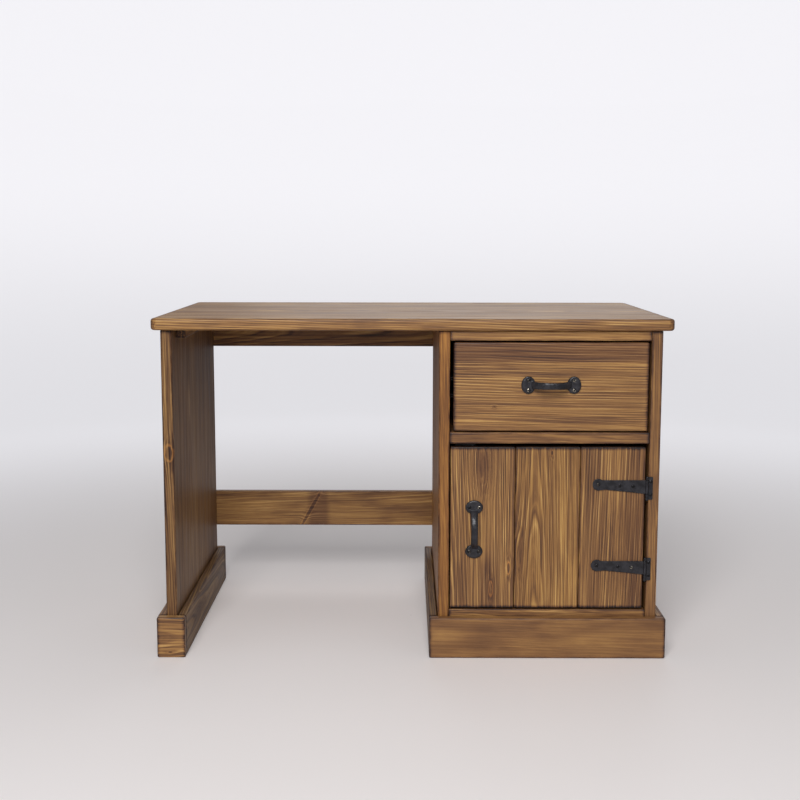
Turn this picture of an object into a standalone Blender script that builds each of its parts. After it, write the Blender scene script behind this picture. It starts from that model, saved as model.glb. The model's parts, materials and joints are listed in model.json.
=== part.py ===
"""A pine writing desk: a panel leg, a cabinet with a drawer and a plank door, and black iron fittings.

X runs along the front with the cabinet on the +X side, the front faces -Y and Z is up.
The origin is on the floor, under the middle of the box around the whole desk, handles included.
"""

import math

import bmesh
import bpy

MM = 0.001

# Clearances: touching pieces, a pin in its knuckle, and knuckles along the pin
SEAT = 0.3 * MM
PIN_PLAY = 0.3 * MM
KNUCKLE_PLAY = 0.6 * MM

# Desk: lengths along X, depth of the panels along Y, heights along Z
DESK_WIDTH = 1158 * MM
DESK_HEIGHT = 770 * MM
PANEL_DEPTH = 622 * MM
PANEL_THICKNESS = 24 * MM
PANEL_ARRIS = 2 * MM

# Desktop
TOP_THICKNESS = 26 * MM
TOP_FRONT_OVERHANG = 12 * MM
TOP_PAST_SKIRT_LEFT = 1 * MM
TOP_PAST_SKIRT_RIGHT = 4.5 * MM
TOP_CORNER_RADIUS = 17 * MM
TOP_EDGE_RADIUS = 6 * MM

# Skirt boards, which wrap the foot of the panel leg and of the cabinet
SKIRT_THICKNESS = 20 * MM
SKIRT_HEIGHT = 94 * MM
SKIRT_ARRIS = 4.5 * MM

# Rails across the back of the knee space, and the cleat that holds the top to the panel leg
RAIL_THICKNESS = 20 * MM
TOP_BACK_RAIL_HEIGHT = 92 * MM
STRETCHER_HEIGHT = 95 * MM
STRETCHER_BOTTOM = 157 * MM
CLEAT_SIZE = 22 * MM
CLEAT_INSET = 57 * MM

# Cabinet
CABINET_WIDTH = 495 * MM
CABINET_RAIL_HEIGHT = 22.5 * MM
CABINET_RAIL_DEPTH = 60 * MM
DIVIDER_THICKNESS = 25 * MM
FLOOR_THICKNESS = 24 * MM
FLOOR_ABOVE_SKIRT = 15 * MM
DRAWER_OPENING_HEIGHT = 205.5 * MM
BACK_PANEL_THICKNESS = 6 * MM

# Drawer
DRAWER_FRONT_THICKNESS = 22 * MM
DRAWER_FRONT_ARRIS = 3 * MM
DRAWER_GAP_LEFT = 8.5 * MM
DRAWER_GAP_RIGHT = 5.5 * MM
DRAWER_GAP_TOP = 4 * MM
DRAWER_GAP_BOTTOM = 3.5 * MM
DRAWER_SIDE_THICKNESS = 15 * MM
DRAWER_BOTTOM_THICKNESS = 6 * MM
DRAWER_ROOM_UNDER = 12 * MM
DRAWER_ROOM_OVER = 36 * MM
DRAWER_ROOM_BEHIND = 96 * MM
DRAWER_BACK_DROP = 12 * MM
BOX_ARRIS = 1 * MM

# Drawer slides: one channel on the cabinet, and a smaller one inside it on the drawer
SLIDE_SPACE = 12.7 * MM
SLIDE_OUTER_HEIGHT = 45 * MM
SLIDE_INNER_HEIGHT = 35 * MM
SLIDE_SHEET = 1.2 * MM
SLIDE_FREE = 2 * MM
SLIDE_SETBACK = 40 * MM

# Door
DOOR_THICKNESS = 22 * MM
DOOR_PLANKS = 3
DOOR_PLANK_GAP = 1.4 * MM
DOOR_ARRIS = 2 * MM
DOOR_GAP_LEFT = 3 * MM
DOOR_GAP_RIGHT = 8 * MM
DOOR_GAP_TOP = 8 * MM
DOOR_GAP_BOTTOM = 3.5 * MM
LEDGE_THICKNESS = 18 * MM
LEDGE_HEIGHT = 60 * MM
LEDGE_INSET = 16 * MM

# Strap hinges; the strap is measured leftwards from the pin, and up from the middle of the plate.
# Each hinge's height is a share of the door's, from the nearer end of the door.
HINGE_UPPER_SHARE = 0.25
HINGE_LOWER_SHARE = 0.248
HINGE_SHEET = 2.5 * MM
KNUCKLE_RADIUS = 3.5 * MM
KNUCKLE_END = 0.1 * MM
PIN_RADIUS = 1.6 * MM
PIN_HEAD = 1.2 * MM
PIN_HEAD_RADIUS = 3 * MM
PLATE_HEIGHT = 52 * MM
PLATE_WIDTH = 9.5 * MM
STRAP_LENGTH = 122 * MM
STRAP_TOP = 18.5 * MM
STRAP_WIDE = 31.5 * MM
STRAP_NECK = 22.5 * MM
STRAP_LOBE_RADIUS = 13.5 * MM
STRAP_LOBE_RISE = 3 * MM
STRAP_NECK_REACH = 18 * MM
STRAP_LOBE_END = math.radians(285)
STRAP_SCREWS = (31 * MM, 61 * MM, 109 * MM)

# Bow handles
HANDLE_REACH = 30 * MM
HANDLE_SPACING = 101.5 * MM
HANDLE_PLATE_LONG = 40 * MM
HANDLE_PLATE_SHORT = 32.5 * MM
HANDLE_PLATE_THICKNESS = 4.5 * MM
HANDLE_PLATE_EDGE = 2.2 * MM
HANDLE_PLATE_BEVEL = 3.5 * MM
HANDLE_BAR_WIDTH = 17.5 * MM
HANDLE_BAR_THICKNESS = 6 * MM
HANDLE_BAR_ROOT = 9 * MM
HANDLE_BAR_SINK = 0.5 * MM
HANDLE_BOW = 2.6
HANDLE_SCREW_SPACING = 22 * MM
DRAWER_HANDLE_RISE = 4.5 * MM
DOOR_HANDLE_DROP = 2.5 * MM
DOOR_HANDLE_INSET = 53.5 * MM

# Round-head wood screws
SCREW_LENGTH = 15 * MM
SCREW_RADIUS = 1.6 * MM
SCREW_PLAY = 0.35 * MM
SCREW_HEAD_RADIUS = 3.6 * MM
SCREW_HEAD_HEIGHT = 2 * MM
SCREW_TIP_RADIUS = 0.5 * MM
SCREW_TIP_LENGTH = 3 * MM
SCREW_DOME = (0, 25, 50, 75)

# Magnetic catch
CATCH_LENGTH = 46 * MM
CATCH_HEIGHT = 18 * MM
CATCH_DEPTH = 14 * MM
CATCH_INSET = 14 * MM
CATCH_PLATE_THICKNESS = 1.5 * MM
CATCH_PLATE_HEIGHT = 11 * MM

# Smoothness of the round pieces and rounded edges
CORNER_STEPS = 6
EDGE_STEPS = 3
ARRIS_STEPS = 2
ROUND_SIDES = 20
KNUCKLE_SIDES = 22
OVAL_SIDES = 28
BAR_SIDES = 12
SCREW_SIDES = 12
BAR_STEPS = 18
LOBE_STEPS = 14
SMOOTH_ANGLE = math.radians(35)

# Places along Y: what stands out furthest at the front and the back sets the middle
FRONT_REACH = max(HANDLE_REACH, SKIRT_THICKNESS, TOP_FRONT_OVERHANG)
BACK_REACH = max(SKIRT_THICKNESS, RAIL_THICKNESS)
FRONT_Y = (FRONT_REACH - BACK_REACH - PANEL_DEPTH) / 2
REAR_Y = FRONT_Y + PANEL_DEPTH
BACK_PANEL_Y = REAR_Y - BACK_PANEL_THICKNESS

# Places along X
LEG_X = -DESK_WIDTH / 2 + TOP_PAST_SKIRT_LEFT + SKIRT_THICKNESS
LEG_INNER_X = LEG_X + PANEL_THICKNESS
CABINET_RIGHT_X = DESK_WIDTH / 2 - TOP_PAST_SKIRT_RIGHT - SKIRT_THICKNESS
CABINET_LEFT_X = CABINET_RIGHT_X - CABINET_WIDTH
OPENING_LEFT_X = CABINET_LEFT_X + PANEL_THICKNESS
OPENING_RIGHT_X = CABINET_RIGHT_X - PANEL_THICKNESS

# Places along Z
TOP_UNDER_Z = DESK_HEIGHT - TOP_THICKNESS
RAIL_UNDER_Z = TOP_UNDER_Z - CABINET_RAIL_HEIGHT
DIVIDER_TOP_Z = RAIL_UNDER_Z - DRAWER_OPENING_HEIGHT
DIVIDER_UNDER_Z = DIVIDER_TOP_Z - DIVIDER_THICKNESS
FLOOR_TOP_Z = SKIRT_HEIGHT + FLOOR_ABOVE_SKIRT
FLOOR_UNDER_Z = FLOOR_TOP_Z - FLOOR_THICKNESS

# Door and hinge line
DOOR_LEFT_X = OPENING_LEFT_X + DOOR_GAP_LEFT
DOOR_RIGHT_X = OPENING_RIGHT_X - DOOR_GAP_RIGHT
DOOR_BOTTOM_Z = FLOOR_TOP_Z + DOOR_GAP_BOTTOM
DOOR_TOP_Z = DIVIDER_UNDER_Z - DOOR_GAP_TOP
DOOR_BACK_Y = FRONT_Y + DOOR_THICKNESS
HINGE_X = (DOOR_RIGHT_X + OPENING_RIGHT_X) / 2
HINGE_Y = FRONT_Y - SEAT - KNUCKLE_RADIUS
DOOR_HEIGHT = DOOR_TOP_Z - DOOR_BOTTOM_Z
HINGE_HEIGHTS = {
    "upper": DOOR_TOP_Z - HINGE_UPPER_SHARE * DOOR_HEIGHT,
    "lower": DOOR_BOTTOM_Z + HINGE_LOWER_SHARE * DOOR_HEIGHT,
}

# Drawer box
BOX_LEFT_X = OPENING_LEFT_X + SLIDE_SPACE
BOX_RIGHT_X = OPENING_RIGHT_X - SLIDE_SPACE
BOX_FRONT_Y = FRONT_Y + DRAWER_FRONT_THICKNESS + SEAT
BOX_BACK_Y = BACK_PANEL_Y - DRAWER_ROOM_BEHIND
BOX_BOTTOM_Z = DIVIDER_TOP_Z + DRAWER_ROOM_UNDER
BOX_SIDE_Z = BOX_BOTTOM_Z + DRAWER_BOTTOM_THICKNESS + SEAT
BOX_TOP_Z = RAIL_UNDER_Z - DRAWER_ROOM_OVER


def clear_scene():
    for obj in list(bpy.data.objects):
        bpy.data.objects.remove(obj, do_unlink=True)


def make_material(name, colour, roughness, metallic=0.0):
    material = bpy.data.materials.new(name)
    material.use_nodes = True
    shader = material.node_tree.nodes["Principled BSDF"]
    shader.inputs["Base Color"].default_value = (*colour, 1.0)
    shader.inputs["Roughness"].default_value = roughness
    shader.inputs["Metallic"].default_value = metallic
    return material


def make_empty(name, location):
    empty = bpy.data.objects.new(name, None)
    empty.location = location
    bpy.context.scene.collection.objects.link(empty)
    return empty


def place(name, mesh, location, material, parent=None, rotation=(0.0, 0.0, 0.0)):
    """Puts a mesh in the scene with its origin at a place given in the desk's own frame."""
    obj = bpy.data.objects.new(name, mesh)
    obj.data.materials.clear()
    obj.data.materials.append(material)
    offset = parent.location if parent else (0.0, 0.0, 0.0)
    obj.location = [here - start for here, start in zip(location, offset)]
    obj.rotation_euler = rotation
    obj.parent = parent
    bpy.context.scene.collection.objects.link(obj)
    return obj


def box_mesh(name, size):
    mesh = bpy.data.meshes.new(name)
    shape = bmesh.new()
    bmesh.ops.create_cube(shape, size=1.0)
    bmesh.ops.scale(shape, vec=size, verts=shape.verts)
    shape.to_mesh(mesh)
    shape.free()
    return mesh


def loft_mesh(name, rings):
    """A closed solid through rings of equally many points, capped at both ends."""
    mesh = bpy.data.meshes.new(name)
    shape = bmesh.new()
    loops = [[shape.verts.new(point) for point in ring] for ring in rings]
    for lower, upper in zip(loops, loops[1:]):
        for index in range(len(lower)):
            after = (index + 1) % len(lower)
            shape.faces.new((lower[index], lower[after], upper[after], upper[index]))
    shape.faces.new(loops[0])
    shape.faces.new(loops[-1])
    bmesh.ops.recalc_face_normals(shape, faces=shape.faces)
    shape.to_mesh(mesh)
    shape.free()
    mesh.shade_smooth()
    mesh.set_sharp_from_angle(angle=SMOOTH_ANGLE)
    return mesh


def boolean_mesh(base, others, operation):
    """The base mesh after one exact Boolean with each of the other meshes, all in one frame."""
    target = bpy.data.objects.new("boolean_base", base)
    bpy.context.scene.collection.objects.link(target)
    tools = []
    for mesh in others:
        tool = bpy.data.objects.new("boolean_tool", mesh)
        bpy.context.scene.collection.objects.link(tool)
        modifier = target.modifiers.new("Boolean", "BOOLEAN")
        modifier.operation = operation
        modifier.solver = "EXACT"
        modifier.object = tool
        tools.append(tool)
    evaluated = target.evaluated_get(bpy.context.evaluated_depsgraph_get())
    result = bpy.data.meshes.new_from_object(evaluated)
    for helper in [target, *tools]:
        bpy.data.objects.remove(helper, do_unlink=True)
    result.name = base.name
    result.shade_smooth()
    result.set_sharp_from_angle(angle=SMOOTH_ANGLE)
    return result


def circle(radius, height, sides=ROUND_SIDES, centre=(0.0, 0.0)):
    """A ring of points about the Z direction."""
    turns = [math.tau * index / sides for index in range(sides)]
    return [(centre[0] + radius * math.cos(a), centre[1] + radius * math.sin(a), height) for a in turns]


def cylinder_mesh(name, radius, low, high, centre=(0.0, 0.0), sides=ROUND_SIDES):
    return loft_mesh(name, [circle(radius, height, sides, centre) for height in (low, high)])


def screw_hole(depth, centre=(0.0, 0.0)):
    """A cutter for a screw's shank, along Z and as deep on both sides of the origin."""
    return cylinder_mesh("screw_hole", SCREW_RADIUS + SCREW_PLAY, -depth, depth, centre, SCREW_SIDES)


def slab_mesh(name, outline, low, high):
    """An outline of (x, z) points, extruded along Y."""
    return loft_mesh(name, [[(x, y, z) for x, z in outline] for y in (low, high)])


def board(name, low, high, material, arris=PANEL_ARRIS, parent=None):
    """A board between two corners, with its arrises taken off."""
    size = [b - a for a, b in zip(low, high)]
    middle = [(a + b) / 2 for a, b in zip(low, high)]
    obj = place(name, box_mesh(name, size), middle, material, parent)
    bevel = obj.modifiers.new("Arris", "BEVEL")
    bevel.width = min(arris, min(size) / 3)
    bevel.segments = ARRIS_STEPS
    bevel.limit_method = "NONE"
    return obj


def bore(obj, place_xz):
    """Blind screw holes in the front face of a board, each at an (x, z) in the desk's own frame."""
    depth = SCREW_LENGTH + SEAT
    for index, (x, z) in enumerate(place_xz):
        name = f"{obj.name}_bore_{index + 1}"
        tool = screw_hole(depth)
        cutter = place(name, tool, (x, FRONT_Y, z), obj.data.materials[0], obj.parent, (math.pi / 2, 0, 0))
        cutter.hide_render = True
        cutter.display_type = "WIRE"
        modifier = obj.modifiers.new("Bore", "BOOLEAN")
        modifier.operation = "DIFFERENCE"
        modifier.solver = "EXACT"
        modifier.object = cutter


def screw_mesh():
    """A round-head screw along Z: its head above the origin, its shank below."""
    dome = [math.radians(degrees) for degrees in SCREW_DOME]
    steps = [(SCREW_TIP_RADIUS, -SCREW_LENGTH), (SCREW_RADIUS, -SCREW_LENGTH + SCREW_TIP_LENGTH)]
    steps.append((SCREW_RADIUS, 0.0))
    steps += [(SCREW_HEAD_RADIUS * math.cos(a), SCREW_HEAD_HEIGHT * math.sin(a)) for a in dome]
    return loft_mesh("screw", [circle(radius, height, SCREW_SIDES) for radius, height in steps])


def place_screws(name, mesh, places, height, material, parent):
    """Screws driven in from the front, with their heads resting on a face that stands out by height."""
    for index, (x, z) in enumerate(places):
        location = (x, FRONT_Y - height - SEAT, z)
        place(f"{name}_{index + 1}", mesh, location, material, parent, (math.pi / 2, 0, 0))


def build_top(wood):
    size = (DESK_WIDTH, TOP_FRONT_OVERHANG + PANEL_DEPTH + BACK_REACH, TOP_THICKNESS)
    mesh = box_mesh("desktop", size)
    shape = bmesh.new()
    shape.from_mesh(mesh)
    upright = [edge for edge in shape.edges if abs(edge.verts[0].co.z - edge.verts[1].co.z) > size[2] / 2]
    bmesh.ops.bevel(
        shape, geom=upright, offset=TOP_CORNER_RADIUS, segments=CORNER_STEPS, profile=0.5, affect="EDGES"
    )
    shape.to_mesh(mesh)
    shape.free()
    middle = (0.0, FRONT_Y - TOP_FRONT_OVERHANG + size[1] / 2, DESK_HEIGHT - size[2] / 2)
    top = place("desktop", mesh, middle, wood)
    bevel = top.modifiers.new("Rounded edge", "BEVEL")
    bevel.width = TOP_EDGE_RADIUS
    bevel.segments = EDGE_STEPS
    bevel.limit_method = "ANGLE"
    bevel.angle_limit = SMOOTH_ANGLE


def build_skirt(prefix, names, left, right, wood):
    """Four boards round a foot that reaches from left to right: front, back, left and right."""
    front, back, left_name, right_name = names
    outer_left = left - SKIRT_THICKNESS
    outer_right = right + SKIRT_THICKNESS
    for name, near, far in (
        (front, FRONT_Y - SKIRT_THICKNESS, FRONT_Y - SEAT),
        (back, REAR_Y + SEAT, REAR_Y + SKIRT_THICKNESS),
    ):
        low = (outer_left, near, 0.0)
        high = (outer_right, far, SKIRT_HEIGHT)
        board(prefix + name, low, high, wood, SKIRT_ARRIS)
    for name, near, far in (
        (left_name, outer_left, left - SEAT),
        (right_name, right + SEAT, outer_right),
    ):
        low = (near, FRONT_Y, 0.0)
        high = (far, REAR_Y, SKIRT_HEIGHT)
        board(prefix + name, low, high, wood, SKIRT_ARRIS)


def build_leg(wood):
    board("left_panel", (LEG_X, FRONT_Y, 0.0), (LEG_INNER_X, REAR_Y, TOP_UNDER_Z - SEAT), wood)
    names = ("front_board", "back_board", "outer_board", "inner_board")
    build_skirt("foot_", names, LEG_X, LEG_INNER_X, wood)
    low = (LEG_INNER_X + SEAT, FRONT_Y + CLEAT_INSET, TOP_UNDER_Z - CLEAT_SIZE)
    high = (LEG_INNER_X + CLEAT_SIZE, REAR_Y - CLEAT_INSET, TOP_UNDER_Z - SEAT)
    board("top_cleat", low, high, wood)


def build_back_rails(wood):
    for name, bottom, top in (
        ("back_top_rail", TOP_UNDER_Z - TOP_BACK_RAIL_HEIGHT, TOP_UNDER_Z - SEAT),
        ("back_stretcher", STRETCHER_BOTTOM, STRETCHER_BOTTOM + STRETCHER_HEIGHT),
    ):
        low = (LEG_X, REAR_Y + SEAT, bottom)
        high = (OPENING_LEFT_X, REAR_Y + RAIL_THICKNESS, top)
        board(name, low, high, wood)


def build_cabinet(wood, panel):
    left = OPENING_LEFT_X + SEAT
    right = OPENING_RIGHT_X - SEAT
    for name, near, far in (
        ("cabinet_side_left", CABINET_LEFT_X, OPENING_LEFT_X),
        ("cabinet_side_right", OPENING_RIGHT_X, CABINET_RIGHT_X),
    ):
        board(name, (near, FRONT_Y, 0.0), (far, REAR_Y, TOP_UNDER_Z - SEAT), wood)
    build_skirt("plinth_", ("front", "back", "left", "right"), CABINET_LEFT_X, CABINET_RIGHT_X, wood)
    rear = BACK_PANEL_Y - SEAT
    for name, near, far, bottom, top in (
        ("cabinet_front_rail", FRONT_Y, FRONT_Y + CABINET_RAIL_DEPTH, RAIL_UNDER_Z, TOP_UNDER_Z - SEAT),
        ("cabinet_back_rail", rear - CABINET_RAIL_DEPTH, rear, RAIL_UNDER_Z, TOP_UNDER_Z - SEAT),
        ("cabinet_divider", FRONT_Y, rear, DIVIDER_UNDER_Z, DIVIDER_TOP_Z),
        ("cabinet_floor", FRONT_Y, rear, FLOOR_UNDER_Z, FLOOR_TOP_Z),
    ):
        board(name, (left, near, bottom), (right, far, top), wood)
    low = (left, BACK_PANEL_Y, FLOOR_UNDER_Z)
    high = (right, REAR_Y, TOP_UNDER_Z - SEAT)
    board("cabinet_back_panel", low, high, panel, BOX_ARRIS)


def channel_outline(height, depth):
    """A channel's end, open towards +X, with its back on the Z axis."""
    half = height / 2
    inner = half - SLIDE_SHEET
    upper = [(0.0, half), (depth, half), (depth, inner), (SLIDE_SHEET, inner)]
    return upper + [(x, -z) for x, z in reversed(upper)]


def build_slides(steel, drawer):
    """Each slide is one channel on the cabinet and a smaller one, turned to face it, on the drawer."""
    outer_depth = SLIDE_SPACE - 2 * SEAT - SLIDE_FREE
    inner_depth = SLIDE_SPACE - 2 * SEAT - SLIDE_SHEET - SLIDE_FREE
    outer = channel_outline(SLIDE_OUTER_HEIGHT, outer_depth)
    inner = channel_outline(SLIDE_INNER_HEIGHT, inner_depth)
    near = BOX_FRONT_Y + SLIDE_SETBACK
    middle_y = (near + BOX_BACK_Y) / 2
    middle_z = (BOX_SIDE_Z + BOX_TOP_Z) / 2
    half = (BOX_BACK_Y - near) / 2
    for side, wall, box, way in (
        ("left", OPENING_LEFT_X + SEAT, BOX_LEFT_X - SEAT, 1),
        ("right", OPENING_RIGHT_X - SEAT, BOX_RIGHT_X + SEAT, -1),
    ):
        for name, outline, x, facing, parent in (
            (f"slide_{side}_outer", outer, wall, way, None),
            (f"slide_{side}_inner", inner, box, -way, drawer),
        ):
            mesh = slab_mesh(name, [(facing * a, b) for a, b in outline], -half, half)
            place(name, mesh, (x, middle_y, middle_z), steel, parent)


def bar_point(share):
    """The bow handle's middle line, from one end (-1) to the other (+1)."""
    half_span = HANDLE_SPACING / 2 - HANDLE_BAR_ROOT
    foot = HANDLE_PLATE_THICKNESS - HANDLE_BAR_SINK
    crest = HANDLE_REACH - SEAT - HANDLE_BAR_THICKNESS / 2
    return half_span * share, foot + (crest - foot) * (1.0 - abs(share) ** HANDLE_BOW)


def bar_ring(share):
    """The oval section of the bar at one place along it, square to the bar's middle line."""
    x, z = bar_point(share)
    before = bar_point(share - 1.0 / BAR_STEPS)
    after = bar_point(share + 1.0 / BAR_STEPS)
    slope = math.atan2(after[1] - before[1], after[0] - before[0])
    ring = []
    for side in range(BAR_SIDES):
        turn = math.tau * side / BAR_SIDES
        across = HANDLE_BAR_WIDTH / 2 * math.cos(turn)
        out = HANDLE_BAR_THICKNESS / 2 * math.sin(turn)
        ring.append((x - out * math.sin(slope), across, z + out * math.cos(slope)))
    return ring


def oval_ring(centre, inset, height):
    """The outline of an end plate, drawn in by inset, at a height above its back."""
    short = HANDLE_PLATE_SHORT / 2 - inset
    long = HANDLE_PLATE_LONG / 2 - inset
    return [(centre + short * x, long * y, height) for x, y, _ in circle(1.0, 0.0, OVAL_SIDES)]


def handle_mesh():
    """A bow handle with its bar along X, standing out along +Z, with its plates' backs at zero."""
    shares = [2.0 * index / BAR_STEPS - 1.0 for index in range(BAR_STEPS + 1)]
    bar = loft_mesh("bow_handle", [bar_ring(share) for share in shares])
    plates = []
    holes = []
    depth = 2 * HANDLE_PLATE_THICKNESS
    layers = ((0.0, 0.0), (0.0, HANDLE_PLATE_EDGE), (HANDLE_PLATE_BEVEL, HANDLE_PLATE_THICKNESS))
    for centre in (-HANDLE_SPACING / 2, HANDLE_SPACING / 2):
        ovals = [oval_ring(centre, inset, height) for inset, height in layers]
        plates.append(loft_mesh("plate", ovals))
        for across in (-HANDLE_SCREW_SPACING / 2, HANDLE_SCREW_SPACING / 2):
            holes.append(screw_hole(depth, (centre, across)))
    return boolean_mesh(boolean_mesh(bar, plates, "UNION"), holes, "DIFFERENCE")


def handle_screws(x, z, upright):
    """The (x, z) places of a handle's four screws, about its centre."""
    along = HANDLE_SPACING / 2
    across = HANDLE_SCREW_SPACING / 2
    offsets = [(a, b) for a in (-along, along) for b in (-across, across)]
    return [(x + b, z + a) if upright else (x + a, z + b) for a, b in offsets]


def build_drawer(wood, plain, iron, steel, handle, screw):
    middle = ((BOX_LEFT_X + BOX_RIGHT_X) / 2, FRONT_Y, (BOX_SIDE_Z + BOX_TOP_Z) / 2)
    drawer = make_empty("drawer_axis", middle)
    back = FRONT_Y + DRAWER_FRONT_THICKNESS
    low = (OPENING_LEFT_X + DRAWER_GAP_LEFT, FRONT_Y, DIVIDER_TOP_Z + DRAWER_GAP_BOTTOM)
    high = (OPENING_RIGHT_X - DRAWER_GAP_RIGHT, back, RAIL_UNDER_Z - DRAWER_GAP_TOP)
    front = board("drawer_front", low, high, wood, DRAWER_FRONT_ARRIS, drawer)
    for name, near, far in (
        ("drawer_side_left", BOX_LEFT_X, BOX_LEFT_X + DRAWER_SIDE_THICKNESS),
        ("drawer_side_right", BOX_RIGHT_X - DRAWER_SIDE_THICKNESS, BOX_RIGHT_X),
    ):
        board(name, (near, BOX_FRONT_Y, BOX_SIDE_Z), (far, BOX_BACK_Y, BOX_TOP_Z), plain, BOX_ARRIS, drawer)
    near = (BOX_LEFT_X + DRAWER_SIDE_THICKNESS + SEAT, BOX_BACK_Y - DRAWER_SIDE_THICKNESS, BOX_SIDE_Z)
    far = (BOX_RIGHT_X - DRAWER_SIDE_THICKNESS - SEAT, BOX_BACK_Y, BOX_TOP_Z - DRAWER_BACK_DROP)
    board("drawer_back", near, far, plain, BOX_ARRIS, drawer)
    near = (BOX_LEFT_X, BOX_FRONT_Y, BOX_BOTTOM_Z)
    far = (BOX_RIGHT_X, BOX_BACK_Y, BOX_BOTTOM_Z + DRAWER_BOTTOM_THICKNESS)
    board("drawer_bottom", near, far, plain, BOX_ARRIS, drawer)
    build_slides(steel, drawer)
    x = (low[0] + high[0]) / 2
    z = (low[2] + high[2]) / 2 + DRAWER_HANDLE_RISE
    place("drawer_handle", handle, (x, FRONT_Y - SEAT, z), iron, drawer, (math.pi / 2, 0, 0))
    screws = handle_screws(x, z, upright=False)
    bore(front, screws)
    place_screws("drawer_handle_screw", screw, screws, HANDLE_PLATE_THICKNESS + SEAT, iron, drawer)


def build_door(wood, iron, steel, handle, screw):
    door = make_empty("door_axis", (HINGE_X, HINGE_Y, (DOOR_BOTTOM_Z + DOOR_TOP_Z) / 2))
    width = (DOOR_RIGHT_X - DOOR_LEFT_X - (DOOR_PLANKS - 1) * DOOR_PLANK_GAP) / DOOR_PLANKS
    planks = []
    for index in range(DOOR_PLANKS):
        left = DOOR_LEFT_X + index * (width + DOOR_PLANK_GAP)
        low = (left, FRONT_Y, DOOR_BOTTOM_Z)
        high = (left + width, DOOR_BACK_Y, DOOR_TOP_Z)
        planks.append(board(f"door_plank_{index + 1}", low, high, wood, DOOR_ARRIS, door))
    for which, height in HINGE_HEIGHTS.items():
        low = (DOOR_LEFT_X + LEDGE_INSET, DOOR_BACK_Y + SEAT, height - LEDGE_HEIGHT / 2)
        high = (DOOR_RIGHT_X - LEDGE_INSET, DOOR_BACK_Y + LEDGE_THICKNESS, height + LEDGE_HEIGHT / 2)
        board(f"door_ledge_{which}", low, high, wood, PANEL_ARRIS, door)
    x = DOOR_LEFT_X + DOOR_HANDLE_INSET
    z = (DOOR_BOTTOM_Z + DOOR_TOP_Z) / 2 - DOOR_HANDLE_DROP
    place("door_handle", handle, (x, FRONT_Y - SEAT, z), iron, door, (math.pi / 2, -math.pi / 2, 0))
    screws = handle_screws(x, z, upright=True)
    bore(planks[0], screws)
    place_screws("door_handle_screw", screw, screws, HANDLE_PLATE_THICKNESS + SEAT, iron, door)
    low = (OPENING_LEFT_X + CATCH_INSET, DOOR_BACK_Y + SEAT, DOOR_TOP_Z - CATCH_PLATE_HEIGHT)
    high = (low[0] + CATCH_LENGTH, low[1] + CATCH_PLATE_THICKNESS, DOOR_TOP_Z - PANEL_ARRIS)
    board("catch_plate", low, high, steel, BOX_ARRIS, door)
    low = (low[0], high[1] + SEAT, DIVIDER_UNDER_Z - CATCH_HEIGHT)
    high = (high[0], low[1] + CATCH_DEPTH, DIVIDER_UNDER_Z - SEAT)
    board("magnetic_catch", low, high, steel, BOX_ARRIS)
    return door, planks


def strap_outline():
    """The strap seen from the front, from the pin at zero out to its round end on the left."""
    bottom = STRAP_TOP - STRAP_WIDE
    neck = STRAP_TOP - STRAP_NECK
    lobe_x = -STRAP_LENGTH + STRAP_LOBE_RADIUS
    lobe_z = STRAP_TOP + STRAP_LOBE_RISE - STRAP_LOBE_RADIUS
    start = math.asin((STRAP_TOP - lobe_z) / STRAP_LOBE_RADIUS)
    points = [(0.0, STRAP_TOP)]
    for step in range(LOBE_STEPS + 1):
        turn = start + (STRAP_LOBE_END - start) * step / LOBE_STEPS
        x = lobe_x + STRAP_LOBE_RADIUS * math.cos(turn)
        points.append((x, lobe_z + STRAP_LOBE_RADIUS * math.sin(turn)))
    points.append((lobe_x + STRAP_NECK_REACH, neck))
    points.append((0.0, bottom))
    return points


def strap_centre(x):
    """The height of the strap's middle line at a place along it."""
    bottom = STRAP_TOP - STRAP_WIDE
    lobe_z = STRAP_TOP + STRAP_LOBE_RISE - STRAP_LOBE_RADIUS
    share = -x / (STRAP_LENGTH - STRAP_LOBE_RADIUS)
    wide_middle = (STRAP_TOP + bottom) / 2
    return wide_middle + (lobe_z - wide_middle) * share


def knuckle(low, high):
    """A knuckle with a flat, not a corner, towards the leaf's back, and its ends just past the leaf's."""
    low -= KNUCKLE_END
    high += KNUCKLE_END
    return cylinder_mesh("knuckle", KNUCKLE_RADIUS, low, high, sides=KNUCKLE_SIDES)


def pin_hole():
    return cylinder_mesh("pin_hole", PIN_RADIUS + PIN_PLAY, -PLATE_HEIGHT, PLATE_HEIGHT)


def strap_mesh():
    """The strap leaf with its knuckle, with the pin's axis at zero."""
    back = KNUCKLE_RADIUS
    leaf = slab_mesh("hinge_strap", strap_outline(), back - HINGE_SHEET, back)
    body = boolean_mesh(leaf, [knuckle(STRAP_TOP - STRAP_WIDE, STRAP_TOP)], "UNION")
    holes = [pin_hole()]
    for reach in STRAP_SCREWS:
        hole = screw_hole(2 * back)
        for vertex in hole.vertices:
            x, y, z = vertex.co
            vertex.co = (x - reach, z, strap_centre(-reach) - y)
        holes.append(hole)
    return boolean_mesh(body, holes, "DIFFERENCE")


def plate_mesh():
    """The cabinet's leaf with its two knuckles, above and below the strap's."""
    back = KNUCKLE_RADIUS
    half = PLATE_HEIGHT / 2
    near = KNUCKLE_RADIUS + KNUCKLE_PLAY
    upper = STRAP_TOP + KNUCKLE_PLAY
    lower = STRAP_TOP - STRAP_WIDE - KNUCKLE_PLAY
    outline = [(0.0, half), (near + PLATE_WIDTH, half), (near + PLATE_WIDTH, -half), (0.0, -half)]
    outline += [(0.0, lower), (near, lower), (near, upper), (0.0, upper)]
    leaf = slab_mesh("hinge_plate", outline, back - HINGE_SHEET, back)
    body = boolean_mesh(leaf, [knuckle(upper, half), knuckle(-half, lower)], "UNION")
    return boolean_mesh(body, [pin_hole()], "DIFFERENCE")


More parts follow.
